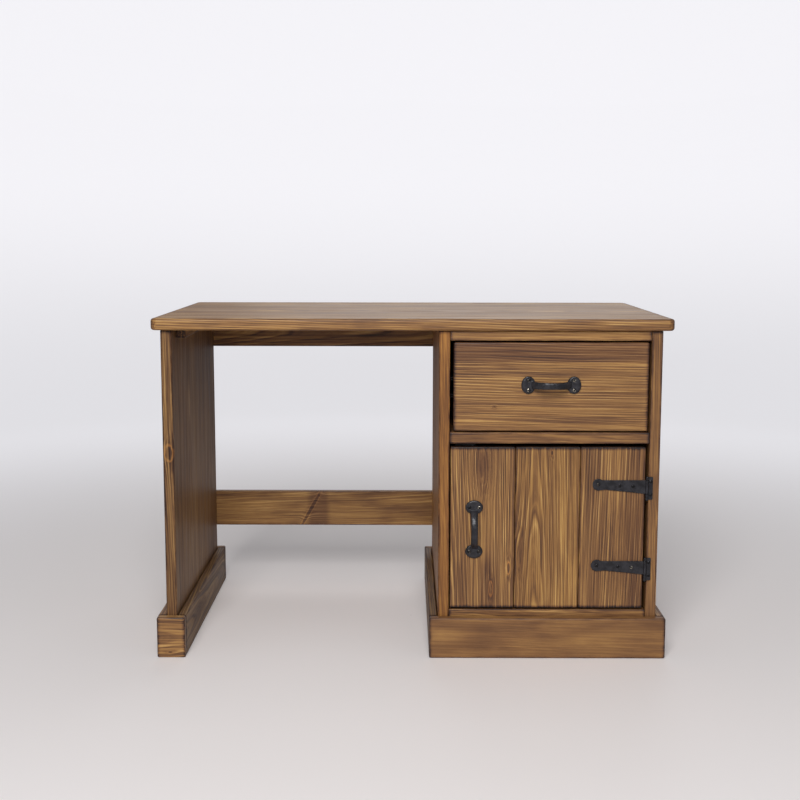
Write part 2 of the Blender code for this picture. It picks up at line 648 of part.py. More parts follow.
def pin_mesh():
    """The hinge pin, with a flat head just above and below the knuckles."""
    half = PLATE_HEIGHT / 2 + SEAT
    upper = [(PIN_RADIUS, half), (PIN_HEAD_RADIUS, half), (PIN_HEAD_RADIUS, half + PIN_HEAD)]
    lower = [(radius, -height) for radius, height in reversed(upper)]
    return loft_mesh("hinge_pin", [circle(radius, height) for radius, height in lower + upper])


def build_hinges(iron, door, plank, screw):
    strap = strap_mesh()
    plate = plate_mesh()
    pin = pin_mesh()
    screws = []
    for which, height in HINGE_HEIGHTS.items():
        axis = (HINGE_X, HINGE_Y, height)
        place(f"hinge_plate_{which}", plate, axis, iron)
        place(f"hinge_pin_{which}", pin, axis, iron)
        place(f"hinge_strap_{which}", strap, axis, iron, door)
        places = [(HINGE_X - reach, height + strap_centre(-reach)) for reach in STRAP_SCREWS]
        place_screws(f"hinge_{which}_screw", screw, places, HINGE_SHEET + SEAT, iron, door)
        screws += places
    bore(plank, screws)


def build_desk():
    clear_scene()
    wood = make_material("stained_pine", (0.24, 0.12, 0.05), 0.45)
    plain = make_material("plain_pine", (0.62, 0.43, 0.24), 0.6)
    panel = make_material("fibreboard", (0.20, 0.12, 0.07), 0.7)
    iron = make_material("black_iron", (0.015, 0.015, 0.017), 0.5, 0.4)
    steel = make_material("dark_zinc_steel", (0.045, 0.045, 0.05), 0.4, 0.8)
    handle = handle_mesh()
    screw = screw_mesh()
    build_top(wood)
    build_leg(wood)
    build_back_rails(wood)
    build_cabinet(wood, panel)
    build_drawer(wood, plain, iron, steel, handle, screw)
    door, planks = build_door(wood, iron, steel, handle, screw)
    build_hinges(iron, door, planks[-1], screw)


build_desk()
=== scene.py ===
import json
import math

import bmesh
import bpy
import numpy as np
from mathutils import Matrix, Vector, noise


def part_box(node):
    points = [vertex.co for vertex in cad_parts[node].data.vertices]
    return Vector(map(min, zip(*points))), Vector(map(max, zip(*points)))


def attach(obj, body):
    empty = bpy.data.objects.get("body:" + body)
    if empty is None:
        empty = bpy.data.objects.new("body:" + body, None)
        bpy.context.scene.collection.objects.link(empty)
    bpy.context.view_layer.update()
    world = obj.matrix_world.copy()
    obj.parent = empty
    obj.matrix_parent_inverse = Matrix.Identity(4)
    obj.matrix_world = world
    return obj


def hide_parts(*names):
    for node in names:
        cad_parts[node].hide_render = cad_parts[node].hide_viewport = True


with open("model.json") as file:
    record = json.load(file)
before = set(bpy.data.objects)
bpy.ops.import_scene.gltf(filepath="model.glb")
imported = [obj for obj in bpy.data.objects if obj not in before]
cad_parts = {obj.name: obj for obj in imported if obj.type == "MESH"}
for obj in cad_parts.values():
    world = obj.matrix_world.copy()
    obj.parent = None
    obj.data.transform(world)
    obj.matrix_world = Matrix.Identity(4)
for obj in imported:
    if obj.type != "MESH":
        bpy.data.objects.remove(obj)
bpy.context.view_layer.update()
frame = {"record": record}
print("frame loaded")

mm = 0.001


def tint(red, green, blue):
    # a screen colour, 0 to 255, as the linear colour that nodes hold
    parts = [(c / 255 / 12.92) if c < 10 else ((c / 255 + 0.055) / 1.055) ** 2.4 for c in (red, green, blue)]
    return (*parts, 1.0)


def pieceName(node):
    # left_panel becomes leftPanel
    first, *rest = node.split("_")
    return first + "".join(word.capitalize() for word in rest)


# laying out and joining a material's nodes

class Bench:
    def __init__(self, name):
        self.material = bpy.data.materials.new(name)
        self.material.use_nodes = True
        self.tree = self.material.node_tree
        self.shader = self.tree.nodes["Principled BSDF"]

    def feed(self, socket, value):
        if isinstance(value, bpy.types.NodeSocket):
            self.tree.links.new(value, socket)
        else:
            socket.default_value = value

    def fill(self, node, values):
        for name, value in values.items():
            self.feed(node.inputs[name], value)
        return node

    def add(self, kind, *values, **settings):
        node = self.tree.nodes.new("ShaderNode" + kind)
        for key, value in settings.items():
            setattr(node, key, value)
        return self.fill(node, dict(enumerate(values)))

    def surface(self, values):
        self.fill(self.shader, values)

    def place(self):
        return self.add("TexCoord").outputs["Object"]

    def calc(self, operation, *values):
        return self.add("Math", *values, operation=operation).outputs[0]

    def plus(self, first, second):
        return self.calc("ADD", first, second)

    def minus(self, first, second):
        return self.calc("SUBTRACT", first, second)

    def times(self, first, second):
        return self.calc("MULTIPLY", first, second)

    def most(self, first, second):
        return self.calc("MAXIMUM", first, second)

    def size(self, value):
        return self.calc("ABSOLUTE", value)

    def total(self, *values):
        result = values[0]
        for value in values[1:]:
            result = self.plus(result, value)
        return result

    def swing(self, value, gain):
        # a 0 to 1 value turned into a swing either side of nothing
        return self.times(self.minus(value, 0.5), gain)

    def vector(self, operation, *values):
        node = self.add("VectorMath", *values, operation=operation)
        return node.outputs["Value" if operation == "LENGTH" else "Vector"]

    def scaled(self, vector, amount):
        node = self.add("VectorMath", vector, operation="SCALE")
        return self.fill(node, {"Scale": amount}).outputs["Vector"]

    def split(self, vector):
        return self.add("SeparateXYZ", vector).outputs

    def combine(self, *values):
        return self.add("CombineXYZ", *values).outputs[0]

    def cloud(self, place, scales, detail=2.0, rough=0.5, shift=0.0, colour=False):
        # soft noise, stretched by its three scales
        spot = self.vector("MULTIPLY_ADD", place, scales, (shift, shift * 1.7, 0.0))
        values = {"Vector": spot, "Scale": 1.0, "Detail": detail, "Roughness": rough}
        return self.fill(self.add("TexNoise"), values).outputs[1 if colour else 0]

    def fade(self, value, start, end, low=0.0, high=1.0):
        return self.add("MapRange", value, start, end, low, high, interpolation_type="SMOOTHSTEP").outputs[0]

    def ramp(self, value, stops):
        node = self.add("ValToRGB", value)
        steps = node.color_ramp.elements
        while len(steps) < len(stops):
            steps.new(1.0)
        for step, (place, colour) in zip(steps, stops):
            step.position = place
            step.color = colour if isinstance(colour, tuple) else (colour, colour, colour, 1.0)
        return node.outputs[0]

    def mixed(self, amount, first, second, kind="MIX"):
        node = self.add("Mix", data_type="RGBA", blend_type=kind)
        return self.fill(node, {0: amount, 6: first, 7: second}).outputs[2]

    def relief(self, height, strength, depth):
        node = self.fill(self.add("Bump"), {"Strength": strength, "Distance": depth, "Height": height})
        self.surface({"Normal": node.outputs[0]})


# brushed pine, in a board's own frame: X along the grain, Y across the face, Z out of it

stainedPine = {
    "tones": [
        (0.00, tint(32, 22, 19)),
        (0.25, tint(82, 54, 38)),
        (0.48, tint(131, 92, 55)),
        (0.68, tint(168, 125, 72)),
        (1.00, tint(226, 184, 116)),
    ],
    "shadeTint": (0.56, 0.50, 0.58, 1.0),
    "knotTint": tint(176, 108, 44),
    "tone": 0.52,
    "ringStep": 5.6 * mm,
    "ringGain": 0.44,
    "lineGain": 0.34,
    "streakGain": 0.2,
    "fibreGain": 0.6,
    "fleckGain": 0.07,
    "blotchGain": 0.28,
    "edgeGain": 0.24,
    "endGain": 0.24,
    "rubGain": 0.3,
    "shade": 0.56,
    "smoke": 0.5,
    "roughness": (0.38, 0.54),
    "specular": 0.4,
    "relief": 0.45,
    "sway": 0.022,
    "taper": 0.03,
    "pithAcross": 0.0,
    "pithDepth": 0.07,
    "staveTone": 0.12,
    "edgeReach": 5 * mm,
    "endReach": 9 * mm,
    "knots": [],
    "bands": [],
}

barePine = {
    **stainedPine,
    "tones": [
        (0.0, tint(140, 96, 56)),
        (0.35, tint(196, 156, 108)),
        (0.6, tint(222, 188, 142)),
        (1.0, tint(240, 214, 174)),
    ],
    "shadeTint": (0.86, 0.80, 0.72, 1.0),
    "ringGain": 0.30,
    "lineGain": 0.15,
    "edgeGain": 0.05,
    "endGain": 0.12,
    "rubGain": 0.04,
    "smoke": 0.1,
    "shade": 0.2,
    "roughness": (0.55, 0.68),
    "relief": 0.15,
}

# soft noise in the wood: scales along, across and through, then detail, roughness and a shift of its own
woodNoise = {
    "sway": ((1.5, 4.0, 4.0), 1.0, 0.5, 0),
    "ripple": ((7.0, 30.0, 30.0), 2.0, 0.5, 0),
    "years": ((0.6, 1.0, 1.0), 1.0, 0.5, 0),
    "showing": ((3.0, 26.0, 26.0), 2.0, 0.5, 5),
    "fibre": ((7.0, 520.0, 360.0), 3.0, 0.6, 0),
    "brushed": ((2.6, 440.0, 260.0), 2.0, 0.65, 3),
    "streak": ((2.4, 150.0, 100.0), 4.0, 0.7, 2),
    "fleck": ((60.0, 260.0, 260.0), 2.0, 0.6, 8),
    "broad": ((3.6, 30.0, 22.0), 3.0, 0.55, 4),
    "blotch": ((5.0, 15.0, 15.0), 2.0, 0.5, 6),
    "smoke": ((7.0, 22.0, 22.0), 3.0, 0.6, 11),
    "rim": ((25.0, 70.0, 70.0), 3.0, 0.6, 0),
    "rubbed": ((16.0, 60.0, 60.0), 3.0, 0.6, 9),
}

# the lengths below are reaches from a knot's centre, with 1 at its rim
knotShape = {
    "raggedScales": (90.0, 160.0, 160.0),
    "ragged": 0.6,
    "pullFall": -0.22,
    "core": (1.0, 0.55),
    "resin": (1.1, 0.28),
    "patch": (3.4, 0.9),
}

# staves are shifted along, across and through the wood, so that their rings don't join
staveShift = {"along": 9.0, "across": 1.6, "through": 0.05}

# how dark or hard one year's growth is, from its soft wood to its hard line
ringLine = [
    (0.0, 0.4), (0.3, 0.35), (0.5, 0.6), (0.66, 1.0),
    (0.78, 0.7), (0.87, 0.0), (0.95, 0.1), (1.0, 0.4),
]


def knotPlaces(bench, place, half, knots):
    # knots push the rings aside, and each has a dark core with a bright resin ring and a shaded patch
    core, ring, patch = 0.0, 0.0, 0.0
    rim, width = knotShape["resin"]
    for spot in knots:
        centre = tuple(share * size for share, size in zip(spot["at"], half))
        away = bench.vector("SUBTRACT", place, centre)
        if spot["lean"]:  # a branch cut along its length crosses the board at a slant
            u, v, w = bench.split(away)
            away = bench.combine(bench.minus(u, bench.times(v, spot["lean"])), v, w)
        ragged = bench.cloud(place, knotShape["raggedScales"], 2.0, 0.5, spot["at"][0] * 9)
        reach = bench.vector("LENGTH", bench.vector("DIVIDE", away, tuple(spot["size"])))
        reach = bench.plus(reach, bench.swing(ragged, knotShape["ragged"]))
        square = bench.times(reach, reach)
        pull = bench.times(bench.calc("EXPONENT", bench.times(square, knotShape["pullFall"])), spot["bend"])
        place = bench.vector("SUBTRACT", place, bench.scaled(bench.vector("MULTIPLY", away, (0, 1, 1)), pull))
        core = bench.most(core, bench.fade(reach, *knotShape["core"], 0.0, spot["dark"]))
        edge = bench.fade(bench.size(bench.minus(reach, rim)), width, 0.0, 0.0, spot["bright"])
        ring = bench.most(ring, edge)
        patch = bench.most(patch, bench.fade(reach, *knotShape["patch"], 0.0, spot["shade"]))
    return place, core, ring, patch


def pineMaterial(name, half, finish, look):
    bench = Bench(name)
    tone = look.get("tone", 0.0) + finish["tone"]
    look = {**finish, **look}
    seed = look["seed"] * 7.31

    def wood(kind, at, colour=False):
        scales, detail, rough, shift = woodNoise[kind]
        return bench.cloud(at, scales, detail, rough, seed + shift, colour)

    place = bench.place()
    bent, core, resin, patch = knotPlaces(bench, place, half, look["knots"])
    along, across, through = bench.split(bent)
    if "stave" in look:  # a wide panel is glued up from staves, each with rings of its own
        width = look["stave"]
        count = bench.calc("FLOOR", bench.calc("DIVIDE", bench.plus(across, half[1]), width))
        lot = bench.add("TexWhiteNoise", noise_dimensions="1D")
        bench.feed(lot.inputs["W"], bench.plus(count, seed))
        first, second, third = bench.split(lot.outputs["Color"])
        middle = bench.times(bench.plus(count, 0.5), width)
        inside = bench.minus(bench.plus(across, half[1]), middle)
        along = bench.plus(along, bench.times(first, staveShift["along"]))
        across = bench.plus(inside, bench.swing(second, width * staveShift["across"]))
        through = bench.total(through, look["pithDepth"], bench.swing(third, staveShift["through"]))
        tone = bench.plus(tone, bench.swing(lot.outputs["Value"], look["staveTone"]))
    else:
        across = bench.minus(across, look["pithAcross"])
        through = bench.plus(through, look["pithDepth"])
    inner = bench.combine(along, across, through)

    # the rings, which sway along the board and widen with the trunk
    middling = (0.5, 0.5, 0.5)
    sway = bench.vector("SUBTRACT", wood("sway", inner, True), middling)
    ripple = bench.vector("SUBTRACT", wood("ripple", inner, True), middling)
    swayed = bench.vector("ADD", inner, bench.vector("MULTIPLY", sway, (0, look["sway"], look["sway"])))
    swayed = bench.vector("ADD", swayed, bench.vector("MULTIPLY", ripple, (0, 4 * mm, 4 * mm)))
    radius = bench.vector("LENGTH", bench.vector("MULTIPLY", swayed, (0, 1, 1)))
    radius = bench.plus(radius, bench.times(along, look["taper"]))
    years = bench.calc("DIVIDE", radius, look["ringStep"])
    years = bench.plus(years, bench.swing(wood("years", bench.combine(years, 0.0, 0.0)), 1.4))
    line = bench.ramp(bench.calc("FRACT", years), ringLine)
    showing = bench.fade(wood("showing", inner), 0.3, 0.62, 0.25, 1.0)
    rings = bench.times(bench.swing(line, look["ringGain"]), showing)

    # fibres and streaks that follow the rings, then blotches of stain
    flow = bench.combine(along, radius, bench.times(through, 0.4))
    straight = bench.vector("ADD", inner, bench.scaled(bench.vector("SUBTRACT", swayed, inner), 0.6))
    fibre, streak, broad = wood("fibre", flow), wood("streak", flow), wood("broad", flow)
    brushed = bench.fade(wood("brushed", straight), 0.3, 0.7)

    # how near the board's edges and ends are
    u, v, w = bench.split(place)
    gaps = [bench.minus(size, bench.size(axis)) for size, axis in zip(half, (u, v, w))]
    low = bench.calc("MINIMUM", gaps[0], gaps[1])
    high = bench.most(gaps[0], gaps[1])
    nearest = bench.most(low, bench.calc("MINIMUM", high, gaps[2]))
    uneven = bench.swing(wood("rim", place), 7 * mm)
    # edges darker: partly stain taken up by the arrises, partly painted shade where boards meet at gaps
    edge = bench.fade(bench.plus(nearest, uneven), look["edgeReach"], 0.0)
    # ends darker: partly stain soaked into the end grain, partly painted shade
    end = bench.fade(bench.plus(gaps[0], uneven), look["endReach"], 0.0)
    # arrises lighter in patches: partly worn wood, partly a painted highlight where rounded arrises catch the
    # light
    rub = bench.times(bench.fade(nearest, 2.4 * mm, 0.4 * mm), bench.fade(wood("rubbed", place), 0.42, 0.6))

    value = bench.total(
        tone,
        rings,
        bench.swing(streak, look["streakGain"]),
        bench.swing(fibre, look["fibreGain"]),
        bench.swing(wood("fleck", inner), look["fleckGain"]),
        bench.swing(brushed, look["lineGain"]),
        bench.swing(wood("blotch", inner), look["blotchGain"]),
        bench.times(rub, look["rubGain"]),
        bench.times(edge, -look["edgeGain"]),
        bench.times(end, -look["endGain"]),
        bench.times(core, -0.4),
        bench.times(resin, 0.26),
    )
    colour = bench.ramp(value, look["tones"])
    colour = bench.mixed(bench.times(resin, 0.6), colour, look["knotTint"])
    shade = bench.fade(broad, 0.5, 0.66, 0.0, look["shade"])
    shade = bench.most(shade, bench.fade(wood("smoke", inner), 0.52, 0.7, 0.0, look["smoke"]))
    for middle, reach, soft, centre, run, amount in look["bands"]:  # shares of the board's half sizes
        off = bench.size(bench.minus(v, middle * half[1]))
        off = bench.plus(off, bench.swing(broad, 8 * mm))
        strip = bench.fade(off, (reach + soft) * half[1], reach * half[1], 0.0, amount)
        off = bench.size(bench.minus(u, centre * half[0]))
        strip = bench.times(strip, bench.fade(off, run * half[0] * 1.3, run * half[0] * 0.6))
        shade = bench.most(shade, strip)
    shade = bench.most(shade, patch)
    colour = bench.mixed(shade, colour, look["shadeTint"], "MULTIPLY")
    if "wash" in look:
        colour = bench.mixed(1.0, colour, look["wash"], "MULTIPLY")
    bench.surface({
        "Base Color": colour,
        "Roughness": bench.fade(streak, 0.3, 0.7, *reversed(look["roughness"])),
        "Specular IOR Level": look["specular"],
    })
    height = bench.total(bench.times(line, 0.6), bench.times(fibre, 0.8))
    bench.relief(height, look["relief"], 0.5 * mm)
    return bench.material


# blocks with worn, rounded arrises

def axisSteps(size, radius, spacing):
    # places along one axis, close together where the arris turns
    turn = [math.tan(math.radians(angle)) for angle in (45, 33.75, 22.5, 11.25, 0)]
    ends = [size - radius + radius * t for t in turn]
    count = max(1, round(2 * (size - radius) / spacing))
    inner = np.linspace(-(size - radius), size - radius, count + 1)[1:-1]
    return [-e for e in ends] + list(inner) + ends[::-1]


# the wear on an arris: bumps to the metre, coarse and fine, how much the fine ones count, and its deepest
arrisWear = {"coarse": 22, "fine": 110, "fineShare": 0.6, "deepest": 0.95}


def meshOf(name, points, faces):
    mesh = bpy.data.meshes.new(name)
    mesh.from_pydata([tuple(point) for point in points], [], faces)
    mesh.shade_smooth()
    return mesh


def wornBlock(name, half, radius, wear, seed, spacing):
    steps = [axisSteps(size, radius, spacing) for size in half]
    last = [len(axis) - 1 for axis in steps]
    found, points, faces = {}, [], []

    def corner(index):
        if index not in found:
            found[index] = len(points)
            point = Vector([steps[axis][index[axis]] for axis in range(3)])
            worn = radius * (1 + wear * noise.noise(point * arrisWear["coarse"] + Vector((seed, 0, 0))))
            fine = noise.noise(point * arrisWear["fine"] + Vector((0, seed, 0)))
            worn *= 1 + wear * arrisWear["fineShare"] * fine
            worn = min(worn, min(half) * arrisWear["deepest"])
            base = Vector([max(-(h - worn), min(h - worn, c)) for h, c in zip(half, point)])
            away = point - base
            points.append(base + away.normalized() * worn if away.length > 0 else point)
        return found[index]

    for axis in range(3):
        one, two = (axis + 1) % 3, (axis + 2) % 3
        for side in (0, last[axis]):
            for i in range(last[one]):
                for j in range(last[two]):
                    ring = []
                    for a, b in ((i, j), (i + 1, j), (i + 1, j + 1), (i, j + 1)):
                        index = [0, 0, 0]
                        index[axis], index[one], index[two] = side, a, b
                        ring.append(corner(tuple(index)))
                    faces.append(ring if side else ring[::-1])
    return meshOf(name, points, faces)


def evenShading(piece):
    # keeps wide flat faces flat beside their rounded arrises
    piece.modifiers.new("evenShading", "WEIGHTED_NORMAL").weight = 50


def loose(name, data, turn=None):
    # a working object that isn't a piece
    thing = bpy.data.objects.new(name, data)
    bpy.context.scene.collection.objects.link(thing)
    thing.matrix_world = turn or Matrix()
    return thing


def show(name, mesh, turn, material, body="desk"):
    piece = loose(name, mesh, turn)
    mesh.materials.clear()
    mesh.materials.append(material)
    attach(piece, body)
    return piece


def standFor(node, mesh, turn, material, name=None):
    # a piece in the place of a CAD node, on its body and in its finish
    piece = show(name or pieceName(node), mesh, turn, material, bodyOf[node])
    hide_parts(node)
    return piece


def settle(piece):
    # the mesh as its modifiers leave it
    bpy.context.view_layer.update()
    graph = bpy.context.evaluated_depsgraph_get()
    mesh = bpy.data.meshes.new_from_object(piece.evaluated_get(graph))
    piece.modifiers.clear()
    piece.data = mesh
    return mesh


def carve(piece, tools, operation="DIFFERENCE"):
    for tool in tools:
        step = piece.modifiers.new(tool.name, "BOOLEAN")
        step.object = tool
        step.operation = operation
    mesh = settle(piece)
    for tool in tools:
        bpy.data.objects.remove(tool)
    return mesh


def loft(name, rings, capped=True):
    # closed rings of equal count, joined in turn
    count = len(rings[0])
    points = [point for ring in rings for point in ring]
    faces = [tuple(range(count))[::-1], tuple(range(len(points) - count, len(points)))] if capped else []
    for row in range(len(rings) - 1):
        for side in range(count):
            a, b = row * count + side, row * count + (side + 1) % count
            faces.append((a, b, b + count, a + count))
    mesh = meshOf(name, points, faces)
    if capped:
        solid = bmesh.new()
        solid.from_mesh(mesh)
        bmesh.ops.recalc_face_normals(solid, faces=solid.faces)
        solid.to_mesh(mesh)
        solid.free()
    return mesh


def circle(radius, height, sides=32, centre=(0.0, 0.0)):
    turns = [math.tau * side / sides for side in range(sides)]
    return [(centre[0] + radius * math.cos(t), centre[1] + radius * math.sin(t), height) for t in turns]


def turned(name, profile, sides):
    # a profile of radii and heights, turned on a lathe
    return loft(name, [circle(radius, height, sides) for radius, height in profile])


# which body each node rides on, and its finish

bodyOf = {node: body for body, nodes in frame["record"]["behaviour"]["bodies"].items() for node in nodes}
slotOf = {row["node"]: row["material_slot"] for row in frame["record"]["subparts"]}


def boardFrame(node, grain=None):
    # a board's centre, turn and half sizes, with X along its grain and Z out of its face
    low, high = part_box(node)
    size = high - low
    thin = min(range(3), key=lambda axis: size[axis])
    if grain is None:
        grain = max(range(3), key=lambda axis: size[axis])
    axes = [Vector((1, 0, 0)), Vector((0, 1, 0)), Vector((0, 0, 1))]
    out = -axes[1] if thin == 1 else axes[thin]
    along = axes[grain]
    across = out.cross(along)
    turn = Matrix((along, across, out)).transposed().to_4x4()
    turn.translation = (low + high) / 2
    rest = 3 - grain - thin
    return turn, (size[grain] / 2, size[rest] / 2, size[thin] / 2)


def knot(along, across, size, bend, dark=0.7, bright=0.4, shade=0.3, through=0.0, lean=0.0):
    # its place is in shares of the board's half sizes, and its size in millimetres
    return {
        "at": (along, across, through), "size": [s * mm for s in size],
        "bend": bend, "dark": dark, "bright": bright, "shade": shade, "lean": lean,
    }


darkStainAndShade = (0.56, 0.6, 0.68, 1.0)  # a darker stain, which also paints in the shade on the inner boards facing the knee space


# a band is its middle, half width and softness across the board, then its centre and reach along it, and
# its strength; all but the last are shares of the board's half sizes
boardLooks = {
    "left_panel": {
        "seed": 3, "stave": 0.104, "staveTone": 0.08, "pithDepth": 0.05, "ringGain": 0.34,
        # the darker, bluer wash paints in the shade on the panel's inner face, on top of its stain
        "lineGain": 0.3, "wash": (0.76, 0.8, 0.92, 1.0), "specular": 0.24,
        "knots": [knot(0.26, 0.985, (17, 16, 9), 0.5, 0.35, 0.9, 0.1, through=0.1)],
    },
    "cabinet_side_left": {
        "seed": 5, "stave": 0.104, "staveTone": 0.1, "wash": (1.12, 1.0, 0.8, 1.0), "specular": 0.28,
        "ringGain": 0.16, "lineGain": 0.18, "streakGain": 0.14, "shade": 0.2,
    },
    "cabinet_side_right": {
        "seed": 8, "stave": 0.104, "staveTone": 0.1, "tone": -0.04,
        "ringGain": 0.22, "lineGain": 0.22, "streakGain": 0.16, "shade": 0.45,
    },
    "foot_front_board": {
        "seed": 4, "ringStep": 5.5 * mm, "edgeReach": 4 * mm,
        "knots": [knot(-0.05, -0.72, (6, 2.5, 300), 0.3, bright=0.1)],
    },
    "foot_inner_board": {"seed": 9, "wash": darkStainAndShade, "specular": 0.18, "lineGain": 0.2},
    "plinth_left": {"seed": 11, "wash": darkStainAndShade, "specular": 0.18, "lineGain": 0.2},
    "foot_outer_board": {"seed": 12},
    "foot_back_board": {"seed": 14},
    "plinth_front": {
        "seed": 15, "ringGain": 0.05, "lineGain": 0.1, "streakGain": 0.1, "fibreGain": 0.22,
        "blotchGain": 0.7, "shade": 0.6, "pithAcross": -0.1,
        "bands": [
            (0.55, 0.1, 0.3, 0.62, 0.34, 0.5), (-0.25, 0.3, 0.5, 0.08, 0.18, 0.4),
            (-0.4, 0.1, 0.4, -0.75, 0.3, 0.45), (0.6, 0.06, 0.3, -0.7, 0.25, 0.45),
        ],
    },
    "cabinet_front_rail": {"seed": 17, "tone": 0.07, "lineGain": 0.2, "ringGain": 0.2, "shade": 0.25},
    "cabinet_divider": {"seed": 18, "tone": -0.1, "lineGain": 0.2, "ringGain": 0.2, "shade": 0.8},
    "cabinet_floor": {"seed": 21, "sway": 0.05, "ringStep": 8 * mm},
    "back_top_rail": {"seed": 22},
    "back_stretcher": {
        "seed": 24, "tone": 0.08, "pithAcross": 0.08, "lineGain": 0.2, "ringGain": 0.26, "shade": 0.8,
        "bands": [(0.0, 1.4, 0.4, -0.05, 0.09, 0.95)],
        "knots": [knot(-0.12, -0.1, (6, 60, 300), 0.2, 0.6, 0.6, lean=0.55)],
    },
    "drawer_front": {
        "seed": 27, "pithDepth": 0.09, "pithAcross": -0.17, "sway": 0.016, "shade": 0.4, "smoke": 0.3,
        "ringGain": 0.36, "tone": 0.03,
        "bands": [
            (0.78, 0.2, 0.05, 0.0, 1.6, 1.0), (0.78, 0.17, 0.08, -0.92, 0.22, 1.4),
            (-0.3, 0.12, 0.2, 0.65, 0.4, 0.4), (-0.72, 0.1, 0.2, 0.35, 0.3, 0.25),
        ],
        "knots": [knot(-0.58, -0.45, (2.5, 1.6, 300), 0.5, bright=0.1)],
    },
    # the planks' stronger end darkening also paints the shadow cast below the divider onto the door's top
    "door_plank_1": {
        "seed": 31, "pithAcross": 0.11, "pithDepth": 0.06, "sway": 0.014, "endGain": 0.45,
        "bands": [(-0.15, 0.12, 0.2, -0.75, 0.4, 0.9), (0.62, 0.2, 0.2, -0.7, 0.3, 0.6)],
        "knots": [
            knot(0.78, 0.02, (34, 10, 300), 0.8, 0.12, 0.0, 0.85),
            knot(-0.76, -0.28, (15, 4, 300), 0.7, 0.1, 1.0, 0.15),
            knot(-0.5, -0.83, (12, 3.5, 300), 0.7, 0.2, 1.0, 0.15),
        ],
    },
    "door_plank_2": {
        "seed": 33, "pithAcross": 0.028, "pithDepth": 0.02, "sway": 0.014, "tone": 0.06,
        "endGain": 0.45, "wash": (1.0, 0.99, 0.9, 1.0),
        "knots": [
            knot(0.93, -0.12, (6, 3, 300), 0.7, 0.4, 0.5, 0.15),
            knot(-0.3, 0.86, (30, 7, 300), 0.7, 0.1, 0.1, 0.45),
        ],
    },
    "door_plank_3": {
        "seed": 36, "pithAcross": -0.12, "pithDepth": 0.07, "sway": 0.012, "endGain": 0.45,
        "bands": [(-0.7, 0.22, 0.08, 0.1, 1.4, 0.8), (0.55, 0.14, 0.2, 0.0, 1.4, 0.6)],
    },
    "drawer_side_left": {"seed": 41},
    "drawer_side_right": {"seed": 42},
    "drawer_back": {"seed": 43},
    "drawer_bottom": {"seed": 44, "stave": 0.09},
}

boards = {
    "arris": 2.2 * mm,
    "wear": 0.3,
    "spacing": 30 * mm,
    "arrises": {"drawer_front": 3.2 * mm, "foot": 4.2 * mm, "plinth": 4.2 * mm, "door_plank": 2.4 * mm},
    "grain": {"foot_front_board": 0, "foot_back_board": 0, "drawer_bottom": 0,
              "cabinet_divider": 0, "cabinet_floor": 0},
}
deskTop = {
    "cornerRadius": 17 * mm,
    "edgeRadius": 6 * mm,
    "spacing": 24 * mm,
    "bite": 1.4 * mm,
    "look": {
        "seed": 2, "stave": 0.129, "staveTone": 0.1, "pithDepth": 0.05, "tone": 0.08, "ringGain": 0.4,
        "lineGain": 0.3, "shade": 0.3, "edgeGain": 0.12, "endReach": 15 * mm,
        "bands": [(-1.0, 0.06, 0.04, 0.55, 0.55, 0.35)],
    },
}


def boardArris(node):
    for start, arris in boards["arrises"].items():
        if node.startswith(start):
            return arris
    return boards["arris"]


def makeBoards():
    finishes = {"stained_pine": stainedPine, "plain_pine": barePine}
    made = {}
    for count, node in enumerate(sorted(slotOf)):
        if slotOf[node] not in finishes or node == "desktop":
            continue
        look = {"seed": 50 + count, **boardLooks.get(node, {})}
        turn, half = boardFrame(node, boards["grain"].get(node))
        radius = min(boardArris(node), min(half) * 0.5)
        name = pieceName(node)
        mesh = wornBlock(name, half, radius, boards["wear"], look["seed"], boards["spacing"])
        material = pineMaterial(name + "Pine", half, finishes[slotOf[node]], look)
        made[node] = standFor(node, mesh, turn, material)
    return made


def roundedOutline(half, radius, inset, height, spacing):
    # a rectangle with round corners, with points along its sides for the wear to move
    reach = [half[0] - radius, half[1] - radius]
    sides = [max(2, round(2 * r / spacing)) for r in reach]
    points = []
    for corner, (sx, sy) in enumerate(((1, 1), (-1, 1), (-1, -1), (1, -1))):
        for step in range(9):
            angle = math.radians(90 * corner + 90 * step / 8)
            x = sx * reach[0] + (radius - inset) * math.cos(angle)
            y = sy * reach[1] + (radius - inset) * math.sin(angle)
            points.append((x, y, height))
        count = sides[corner % 2]
        x, y, _ = points[-1]
        ahead = ((-1, 0), (0, -1), (1, 0), (0, 1))[corner]
        length = 2 * reach[corner % 2]
        for step in range(1, count):
            share = length * step / count
            points.append((x + ahead[0] * share, y + ahead[1] * share, height))
    return points


def makeDeskTop():
    turn, half = boardFrame("desktop")
    corner, edge = deskTop["cornerRadius"], deskTop["edgeRadius"]
    rings = []
    for side in (-1, 1):
        angles = range(0, 91, 15) if side < 0 else range(90, -1, -15)
        for angle in angles:
            lean = math.radians(angle)
            inset = edge * (1 - math.sin(lean))
            height = side * (half[2] - edge * (1 - math.cos(lean)))
            rings.append(roundedOutline(half, corner, inset, height, deskTop["spacing"]))
    worn = []
    for ring in rings:
        line = []
        for point in ring:
            spot = Vector(point)
            rise = 1 - min(1.0, (half[2] - abs(spot.z)) / edge)
            bite = deskTop["bite"] * max(0.0, noise.noise(spot * 30)) * rise * (1 - rise)
            line.append(spot - Vector((math.copysign(bite, spot.x), math.copysign(bite, spot.y), 0)))
        worn.append(line)
    mesh = loft("deskTop", worn)
    material = pineMaterial("deskTopPine", half, stainedPine, deskTop["look"])
    return standFor("desktop", mesh, turn, material, "deskTop")


# plain metals and board

